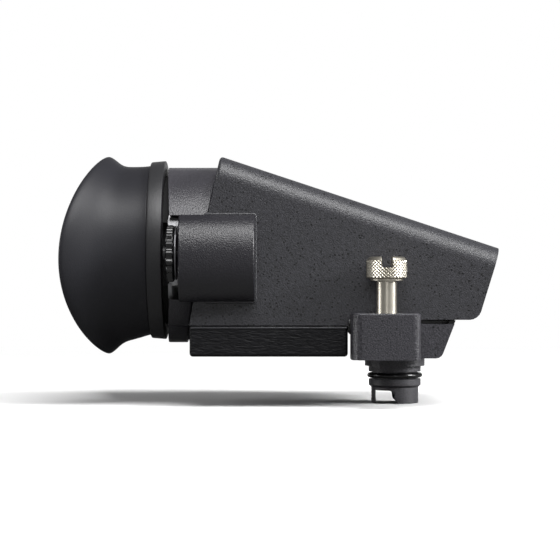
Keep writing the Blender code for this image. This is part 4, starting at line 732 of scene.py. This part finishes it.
# %% Cutting one mesh with another
def cut_away(bm, tool):
    """Cuts a closed mesh out of another, and gives back the rest."""
    pair = []
    for part in (bm, tool):
        mesh = bpy.data.meshes.new("part")
        part.to_mesh(mesh)
        part.free()
        pair.append(bpy.data.objects.new("part", mesh))
        bpy.context.scene.collection.objects.link(pair[-1])
    step = pair[0].modifiers.new("cut", "BOOLEAN")
    step.operation = "DIFFERENCE"
    step.solver = "EXACT"
    step.object = pair[1]
    bpy.context.view_layer.update()
    graph = bpy.context.evaluated_depsgraph_get()
    rest = bmesh.new()
    rest.from_mesh(pair[0].evaluated_get(graph).to_mesh())
    for part in pair:
        bpy.data.objects.remove(part)
    return rest


def block(low, high):
    """A box between two corners."""
    bm = bmesh.new()
    size = Vector(high) - Vector(low)
    bmesh.ops.create_cube(bm, size=1)
    bmesh.ops.scale(bm, verts=bm.verts, vec=size)
    bmesh.ops.translate(bm, verts=bm.verts, vec=(Vector(low) + Vector(high)) / 2)
    return bm


def slice_at(bm, point, normal, **clear):
    """Adds points along a plane, and with clear_inner or clear_outer drops one side of it."""
    bmesh.ops.bisect_plane(bm, geom=bm.verts[:] + bm.edges[:] + bm.faces[:], plane_co=point,
                           plane_no=normal, **clear)


def join(bm, other):
    """Adds a second mesh to a mesh."""
    mesh = bpy.data.meshes.new("part")
    other.to_mesh(mesh)
    other.free()
    bm.from_mesh(mesh)
    return bm


# %% [markdown]
# ## Eyepiece tube
#
# The tube's open end isn't cut square: seen from the side it keeps to one upright line,
# so on the near and far sides it stands back a little. The copy of the solid gets a round
# edge, and then its end is pushed back by an amount that grows with the distance from the
# middle. A shallow groove runs round the tube where it meets the casing. Cutting it with a
# ring would be possible, but four slices and a push inwards keep the mesh plain. A thin
# slot at the height of the casing's seam parts the tube's lower piece.

# %% Tube
TUBE_AXIS_Z = 31.9
TUBE_END_X = -70.6
TUBE_FIRST_BACK = 0.4
TUBE_SET_BACK = 1.35
TUBE_SIDE_Y = 24.8
# Distances from the casing's rear end: the slices, and what lies between the outer two.
GROOVE_SLICES = (0.02, 0.1, 0.65, 0.75)
GROOVE_FROM = 0.06
GROOVE_TO = 0.7
GROOVE_DEPTH = 0.8
TUBE_SKIN_RADIUS = 27.5
SEAM_Z = 9.9
SEAM_WIDTH = 0.22
SEAM_X = (-80, -50)
SEAM_Y = (16.7, 20)


def groove_tube(bm):
    slope = REAR_TOP - REAR_FOOT
    outward = Vector((-slope.z, 0, slope.x)).normalized()
    for away in GROOVE_SLICES:
        slice_at(bm, REAR_FOOT + outward * away, outward)
    for vert in bm.verts:
        from_axis = math.hypot(vert.co.y, vert.co.z - TUBE_AXIS_Z)
        from_casing = (vert.co - REAR_FOOT).dot(outward)
        if GROOVE_FROM < from_casing < GROOVE_TO and from_axis > TUBE_SKIN_RADIUS:
            inward = 1 - GROOVE_DEPTH / from_axis
            vert.co.y *= inward
            vert.co.z = TUBE_AXIS_Z + (vert.co.z - TUBE_AXIS_Z) * inward


def make_tube():
    bm = soften(merged_copy("eyepiece_tube"), 0.6)
    for vert in bm.verts:
        if vert.co.x < TUBE_END_X:
            vert.co.x += TUBE_FIRST_BACK + TUBE_SET_BACK * (vert.co.y / TUBE_SIDE_Y) ** 2
    groove_tube(bm)
    for side in (-1, 1):
        low, high = sorted(side * y for y in SEAM_Y)
        bm = cut_away(bm, block((SEAM_X[0], low, SEAM_Z - SEAM_WIDTH), (SEAM_X[1], high, SEAM_Z)))
    return bm


show("tube_shell", make_tube(), "finder_housing", "tube_paint", "eyepiece_tube", even=True)

# %% [markdown]
# ## Base of the wheel's housing
#
# A low flange runs round the foot of the wheel's housing where it meets the casing. Its
# round edge catches the light from above as a thin bright line. A plain block with round
# corners is enough, because the housing hides its middle.

# %% Flange of the wheel's housing
FLANGE_LOW = (-60.2, -27.7, 16.7)
FLANGE_HIGH = (-43.75, -26.8, 44.35)
FLANGE_CORNER = 1.2
FLANGE_SEGMENTS = 6


def make_flange():
    bm = block(FLANGE_LOW, FLANGE_HIGH)
    across = [edge for edge in bm.edges if abs(edge.verts[0].co.y - edge.verts[1].co.y) > 0.1]
    round_edges(bm, across, FLANGE_CORNER, FLANGE_SEGMENTS)
    return soften(bm, 0.4)


show("housing_flange", make_flange(), "finder_housing", "textured_paint", even=True)

# %% [markdown]
# ## Rims and seal
#
# The bottom cover has a thin raised rim along its joint with the casing, and the rim
# catches a line of light. It could be part of the cover's mesh, but a narrow bar on each
# side is simpler. A soft strip on the foot closes the front end of the slit under the
# casing, and leans forward with the casing's nose.

# %% Rims and seal
RIM_X = (-64.0, -16.3)
RIM_Z = (9.0, 9.6)
RIM_THICKNESS = 1
SEAL_LOW = (14.6, -26, 10.4)
SEAL_HIGH = (16.5, 26, 11.6)
SEAL_LEAN = 0.39
SEAL_UPRIGHT_Z = 10.5

for side, inner_y in (("near", -27.2), ("far", 26.2)):
    rim = block((RIM_X[0], inner_y, RIM_Z[0]), (RIM_X[1], inner_y + RIM_THICKNESS, RIM_Z[1]))
    show("cover_rim_" + side, soften(rim, 0.2), "finder_housing", "textured_paint", even=True)

seal = block(SEAL_LOW, SEAL_HIGH)
for vert in seal.verts:
    vert.co.x += SEAL_LEAN * (vert.co.z - SEAL_UPRIGHT_Z)
show("slit_seal", soften(seal, 0.15), "foot", "ring_rubber", even=True)

# %% [markdown]
# ## Turned pieces
#
# Rings and knobs are turned on a lathe, and a spin does the same to a profile. A profile
# is a list of points, each with its distance from the axis and its place along it. The
# ring that the eyecup is moulded on is the first: its outer face is slightly conical, and
# only small roundings part it from its two flat ends.

# %% Lathe
LATHE_MERGE_MM = 0.001


def lathe(profile, steps, along="X", centre=(0, 0, 0)):
    """Spins a closed profile of (radius, place) points round an axis through a centre."""
    bm = bmesh.new()
    points = [bm.verts.new((radius, 0, place)) for radius, place in profile]
    pairs = zip(points, points[1:] + points[:1])
    loop = [bm.edges.new(pair) for pair in pairs if max(pair[0].co.x, pair[1].co.x) > 0]
    bmesh.ops.spin(bm, geom=points + loop, cent=(0, 0, 0), axis=(0, 0, 1), angle=math.tau,
                   steps=steps, use_merge=True)
    bmesh.ops.remove_doubles(bm, verts=bm.verts, dist=LATHE_MERGE_MM)
    if along == "X":
        bmesh.ops.rotate(bm, verts=bm.verts, matrix=Matrix.Rotation(math.pi / 2, 3, "Y"))
    bmesh.ops.translate(bm, verts=bm.verts, vec=centre)
    bmesh.ops.recalc_face_normals(bm, faces=bm.faces)
    return bm


# %% Eyecup ring
AXIS_Z = 33.45
RING_PROFILE = (
    (23.75, -77.5), (27.85, -77.5), (28.0, -77.42), (28.08, -77.2), (28.12, -76.9),
    (28.42, -73.3), (28.36, -73.05), (28.1, -72.95), (26.2, -72.85), (25.6, -72.8),
    (23.75, -72.8),
)

cup_ring = lathe(RING_PROFILE, steps=128, centre=(0, 0, AXIS_Z))
show("cup_ring", cup_ring, "eyecup", "ring_rubber", "eyecup_ring", sharp=30)

# %% [markdown]
# ## Eyecup
#
# The eyecup is one soft moulding with a thin wall. Its waist is nearly straight, then it
# flares into a rounded lip, and the lip reaches 12 mm further at the temples than at brow
# and cheek, so that it closes against a face. Sculpting could give this form, but the
# photograph shows its outline exactly, and numbers follow that better. A spin gives the
# rings of points, with the place along the cup as a share from 0 at the neck to 1 at the
# lip. Every point then moves to where its share and its direction put it.

# %% Profile of the eyecup
# Each point's radius, and its share of the way from neck to lip: outside first, then inside.
CUP_PROFILE = (
    (26.4, 0.0), (26.95, 0.0), (26.95, 0.015), (26.75, 0.08), (26.7, 0.2), (26.72, 0.32),
    (26.85, 0.44), (27.0, 0.54), (27.45, 0.63), (28.2, 0.71), (29.3, 0.79), (30.25, 0.86),
    (30.85, 0.915), (31.12, 0.957), (31.05, 0.985), (30.75, 1.0), (30.4, 1.0),
    (30.05, 0.985), (29.6, 0.94), (28.9, 0.87), (28.0, 0.79), (27.1, 0.7), (26.35, 0.6),
    (25.75, 0.5), (25.4, 0.4), (25.25, 0.28), (24.9, 0.18), (23.6, 0.13), (19.2, 0.125),
    (19.0, 0.11), (19.0, 0.0),
)
# The shares are spun ten times as far apart, so that close points don't merge.
CUP_SPREAD = 10

# %% Eyecup
CUP_NECK_X = -77.58
CUP_LENGTH = 14.12
CUP_SADDLE = 12.15
CUP_SADDLE_POWER = 0.81
CUP_DROP = 1.4
CUP_SIDE_DROP = 1.75
CUP_SAG = 5.6
CUP_SAG_ENDS = 1.09


def make_cup():
    profile = [(radius, CUP_SPREAD * share) for radius, share in CUP_PROFILE]
    bm = lathe(profile, steps=96)
    for vert in bm.verts:
        share = vert.co.x / CUP_SPREAD
        radius = math.hypot(vert.co.y, vert.co.z)
        sideways = (vert.co.y / radius) ** 2
        drop = CUP_DROP + CUP_SIDE_DROP * sideways
        length = CUP_LENGTH + CUP_SADDLE * sideways ** CUP_SADDLE_POWER * share
        vert.co.x = CUP_NECK_X - length * share
        below = max(0, -vert.co.z / radius) ** 2
        sag = CUP_SAG * below * share * (CUP_SAG_ENDS - share)
        vert.co.z += AXIS_Z - drop * share ** 2 - sag
    bmesh.ops.recalc_face_normals(bm, faces=bm.faces)
    return bm


cup = show("soft_eyecup", make_cup(), "eyecup", "rubber", "eyecup_rubber", sharp=80)
smoother = cup.modifiers.new("rounder", "SUBSURF")
smoother.levels = 1
smoother.render_levels = 1

# %% [markdown]
# ## Dioptre wheel
#
# The wheel sticks out of the housing so that a fingertip can turn it. Its rim has 18 round
# lobes. Each lobe could be an extruded shape of its own, but a disc with a wavy rim gives
# the same and stays one skin: a plain disc is spun first, and the points of its rim then
# move towards the middle along a wave.

# %% Dioptre wheel
WHEEL_AT = (0, -29.0, 31.9)
WHEEL_LOBES = 18
WHEEL_STEPS = 10 * WHEEL_LOBES
WHEEL_GAP_DEPTH = 0.8
WHEEL_RIM_FROM = 8
WHEEL_PROFILE = (
    (1.3, -71.1), (7.6, -71.1), (8.3, -71.0), (8.7, -70.7),
    (8.7, -69.1), (8.3, -68.8), (7.6, -68.7), (1.3, -68.7),
)


def make_wheel():
    bm = lathe(WHEEL_PROFILE, steps=WHEEL_STEPS)
    for vert in bm.verts:
        radius = math.hypot(vert.co.y, vert.co.z)
        if radius > WHEEL_RIM_FROM:
            wave = (1 - math.cos(WHEEL_LOBES * math.atan2(vert.co.z, vert.co.y))) / 2
            deep = (radius - WHEEL_GAP_DEPTH * wave) / radius
            vert.co.y *= deep
            vert.co.z *= deep
    bmesh.ops.translate(bm, verts=bm.verts, vec=WHEEL_AT)
    return bm


show("toothed_wheel", make_wheel(), "diopter_wheel", "black_plastic", "diopter_wheel", sharp=40)

# %% [markdown]
# ## Thumbscrews
#
# Two captive screws pull the foot onto the camera. The head has a diamond knurl, which a
# wheel with crossed teeth presses into the metal. A bump pattern would look flat at the
# head's outline, so the knurl is real: a grid of points is spun where every second point
# lies deep and its neighbours stand high. Each high point and the four deep ones round it
# make one small pyramid, and together they make the diamonds.

# %% Knurled head
KNURL_STEPS = 64
KNURL_ROWS = 9
KNURL_DEPTH = 0.34
KNURL_RADIUS = 6.2
KNURL_LOW_Z = 24.75
KNURL_HIGH_Z = 29.4
HEAD_FOOT = [(0, 24.2), (4.9, 24.2), (5.5, 24.4)]
HEAD_TOP = [(6.0, 29.85), (5.7, 30.35), (5.3, 30.75), (4.95, 30.9), (0, 30.9)]


def make_knurled_head():
    """The knurled part of the head, from its lower chamfer to its top, as a closed body."""
    height = KNURL_HIGH_Z - KNURL_LOW_Z
    rows = [KNURL_LOW_Z + height * row / KNURL_ROWS for row in range(KNURL_ROWS + 1)]
    profile = HEAD_FOOT + [(KNURL_RADIUS, place) for place in rows] + HEAD_TOP
    bm = lathe(profile, steps=KNURL_STEPS, along="Z")
    pitch = height / KNURL_ROWS
    deep = (KNURL_RADIUS - KNURL_DEPTH) / KNURL_RADIUS
    for vert in bm.verts:
        if math.hypot(vert.co.x, vert.co.y) > KNURL_RADIUS - CLOSE:
            column = round(math.atan2(vert.co.y, vert.co.x) / math.tau * KNURL_STEPS)
            row = round((vert.co.z - KNURL_LOW_Z) / pitch)
            if (column + row) % 2:
                vert.co.x *= deep
                vert.co.y *= deep
    bmesh.ops.triangulate(bm, faces=bm.faces, quad_method="SHORT_EDGE")
    return bm


# %% Thumbscrews
SCREW_X = -4.65
SCREWS = (("near", -34.0), ("far", 34.0))
SHANK_PROFILE = (
    (0, 0.9), (1.6, 0.9), (2.0, 1.4), (2.0, 13.1), (3.1, 13.1), (3.1, 23.3), (3.25, 23.55),
    (4.6, 23.6), (4.97, 23.75), (5.0, 24.1), (4.8, 24.35), (0, 24.35),
)
SLOT_LOW = (-1.75, -9, 27.6)
SLOT_HIGH = (1.6, 9, 33)


def make_thumbscrew(y):
    shank = lathe(SHANK_PROFILE, steps=64, along="Z")
    screw = join(cut_away(make_knurled_head(), block(SLOT_LOW, SLOT_HIGH)), shank)
    bmesh.ops.translate(screw, verts=screw.verts, vec=(SCREW_X, y, 0))
    return screw


for side, y in SCREWS:
    screw = make_thumbscrew(y)
    show(side + "_knurled_screw", screw, side + "_screw", "nickel", side + "_thumbscrew", sharp=14)

# %% [markdown]
# ## Springs of the thumbscrews
#
# A thumbscrew that is pressed down carries its washer along, and the conical spring under
# the washer goes nearly flat. Here each spring is a copy of its solid with a mesh of its
# own, and it rides on the foot.

for side, y in SCREWS:
    solid = side + "_screw_spring"
    coil = show(side + "_coil_spring", merged_copy(solid), "foot", "steel", solid)
    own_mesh(coil)

# %% [markdown]
# ## Liner in the wheel's window
#
# The tube has a window for the wheel. Above and below the wheel the window shows the bare
# aluminium liner of the tube, which the sawn slot for the wheel has parted in two. A thin
# pipe is spun and cut down to the two pieces that show.

# %% Liner
LINER_INNER = 25.3
LINER_OUTER = 25.8
LINER_FRONT_X = -71.0


def make_liner(low, high, back):
    """A piece of a thin pipe between two heights, on the near side only."""
    profile = ((LINER_INNER, LINER_FRONT_X), (LINER_OUTER, LINER_FRONT_X),
               (LINER_OUTER, back), (LINER_INNER, back))
    bm = lathe(profile, steps=120, centre=(0, 0, TUBE_AXIS_Z))
    for point, keep in (((0, 0, low), (0, 0, 1)), ((0, 0, high), (0, 0, -1)),
                        ((0, 0, 0), (0, -1, 0))):
        slice_at(bm, point, keep, clear_inner=True)
    bmesh.ops.holes_fill(bm, edges=bm.edges, sides=0)
    bmesh.ops.recalc_face_normals(bm, faces=bm.faces)
    return bm


for place, low, high, back in (("top", 40.4, 42.9, -67.5), ("bottom", 18.2, 22.8, -69.9)):
    liner = make_liner(low, high, back)
    show("window_liner_" + place, liner, "finder_housing", "bare_liner", sharp=30)

# %% [markdown]
# ## Plug
#
# The plug carries the contacts into the camera. Its skirt is cut open, which leaves a thin
# prong on one side. Seen from the side, the cut has a round upper corner and its lower end
# flares out. The upper end of the plug is a copy of the solid. The skirt could be one too,
# but its straight cut would have to be filled first, so the skirt is turned anew and cut
# with a block whose one side is bent to that shape.

# %% Cutter for the skirt
SKIRT_FOOT_Z = -15.2
CUT_TOP_Z = -11.1
CUT_LOW_X = -6.3
CUT_HIGH_X = -0.45
CORNER_RADIUS = 1.9
FLARE_RADIUS = 2.1
FLARE_SHARE = 0.85
CUTTER_REACH_Y = 9
CUTTER_SLICES = 19
FIRST_SLICE = 0.02
SLICE_STEP = 0.22


def make_cutter():
    """A block whose right side is bent: in at the top, out at the foot of the skirt."""
    tool = block((CUT_LOW_X, -CUTTER_REACH_Y, SKIRT_FOOT_Z - 1),
                 (CUT_HIGH_X, CUTTER_REACH_Y, CUT_TOP_Z))
    for step in range(CUTTER_SLICES):
        slice_at(tool, (0, 0, CUT_TOP_Z - FIRST_SLICE - SLICE_STEP * step), (0, 0, 1))
    for vert in tool.verts:
        if vert.co.x > CUT_HIGH_X - CLOSE:
            up = max(0, vert.co.z - (CUT_TOP_Z - CORNER_RADIUS)) / CORNER_RADIUS
            down = min(1, max(0, SKIRT_FOOT_Z + FLARE_RADIUS - vert.co.z) / FLARE_RADIUS)
            vert.co.x += FLARE_RADIUS * (1 - math.sqrt(1 - down ** 2)) * FLARE_SHARE
            vert.co.x -= CORNER_RADIUS * (1 - math.sqrt(max(0, 1 - up ** 2)))
    return tool


# %% Plug
SKIRT_TOP_Z = -10.3
SKIRT_INNER = 5.7
SKIRT_OUTER = 7.5


def make_skirt():
    profile = ((SKIRT_INNER, SKIRT_TOP_Z), (SKIRT_OUTER, SKIRT_TOP_Z),
               (SKIRT_OUTER, SKIRT_FOOT_Z), (SKIRT_INNER, SKIRT_FOOT_Z))
    return cut_away(lathe(profile, steps=96, along="Z"), make_cutter())


def make_plug():
    bm = soften(merged_copy("plug_shell"), 0.15)
    slice_at(bm, (0, 0, SKIRT_TOP_Z), (0, 0, -1), clear_outer=True)
    return join(bm, make_skirt())


show("plug_casting", make_plug(), "foot", "plug_paint", "plug_shell", even=True)

# %% [markdown]
# ## Sealing ring
#
# A rubber ring in a groove of the plug keeps dust and water out. It is a plain torus, and
# the lathe makes one from a circle, with more sides than the solid's ring has.

# %% Sealing ring
SEAL_RING_RADIUS = 8.02
SEAL_RING_Z = -6.4
CORD_RADIUS = 0.78
CORD_SIDES = 20


def make_seal_ring():
    turns = [math.tau * step / CORD_SIDES for step in range(CORD_SIDES)]
    profile = [(SEAL_RING_RADIUS + CORD_RADIUS * math.cos(turn),
                SEAL_RING_Z + CORD_RADIUS * math.sin(turn)) for turn in turns]
    return lathe(profile, steps=96, along="Z")


show("seal_ring", make_seal_ring(), "foot", "oring_rubber", "plug_oring", sharp=80)

# %% [markdown]
# ## The remaining solids
#
# Small and hidden solids keep their shapes and only get their finishes. Finer copies of
# them would cost faces that nobody sees. Each solid's slot already has the name of a
# finish, and two solids get one of their own.

# %% Dress the solids
SPECIAL = {"lead_screw": "oxidised_steel", "wheel_washer": "dull_steel"}
for solid in nodes.values():
    name = solid.material_slots[0].material.name.split(".")[0]
    for slot in solid.material_slots:
        slot.material = finishes[SPECIAL.get(solid.name, name)]
print(len(nodes), "solids dressed")
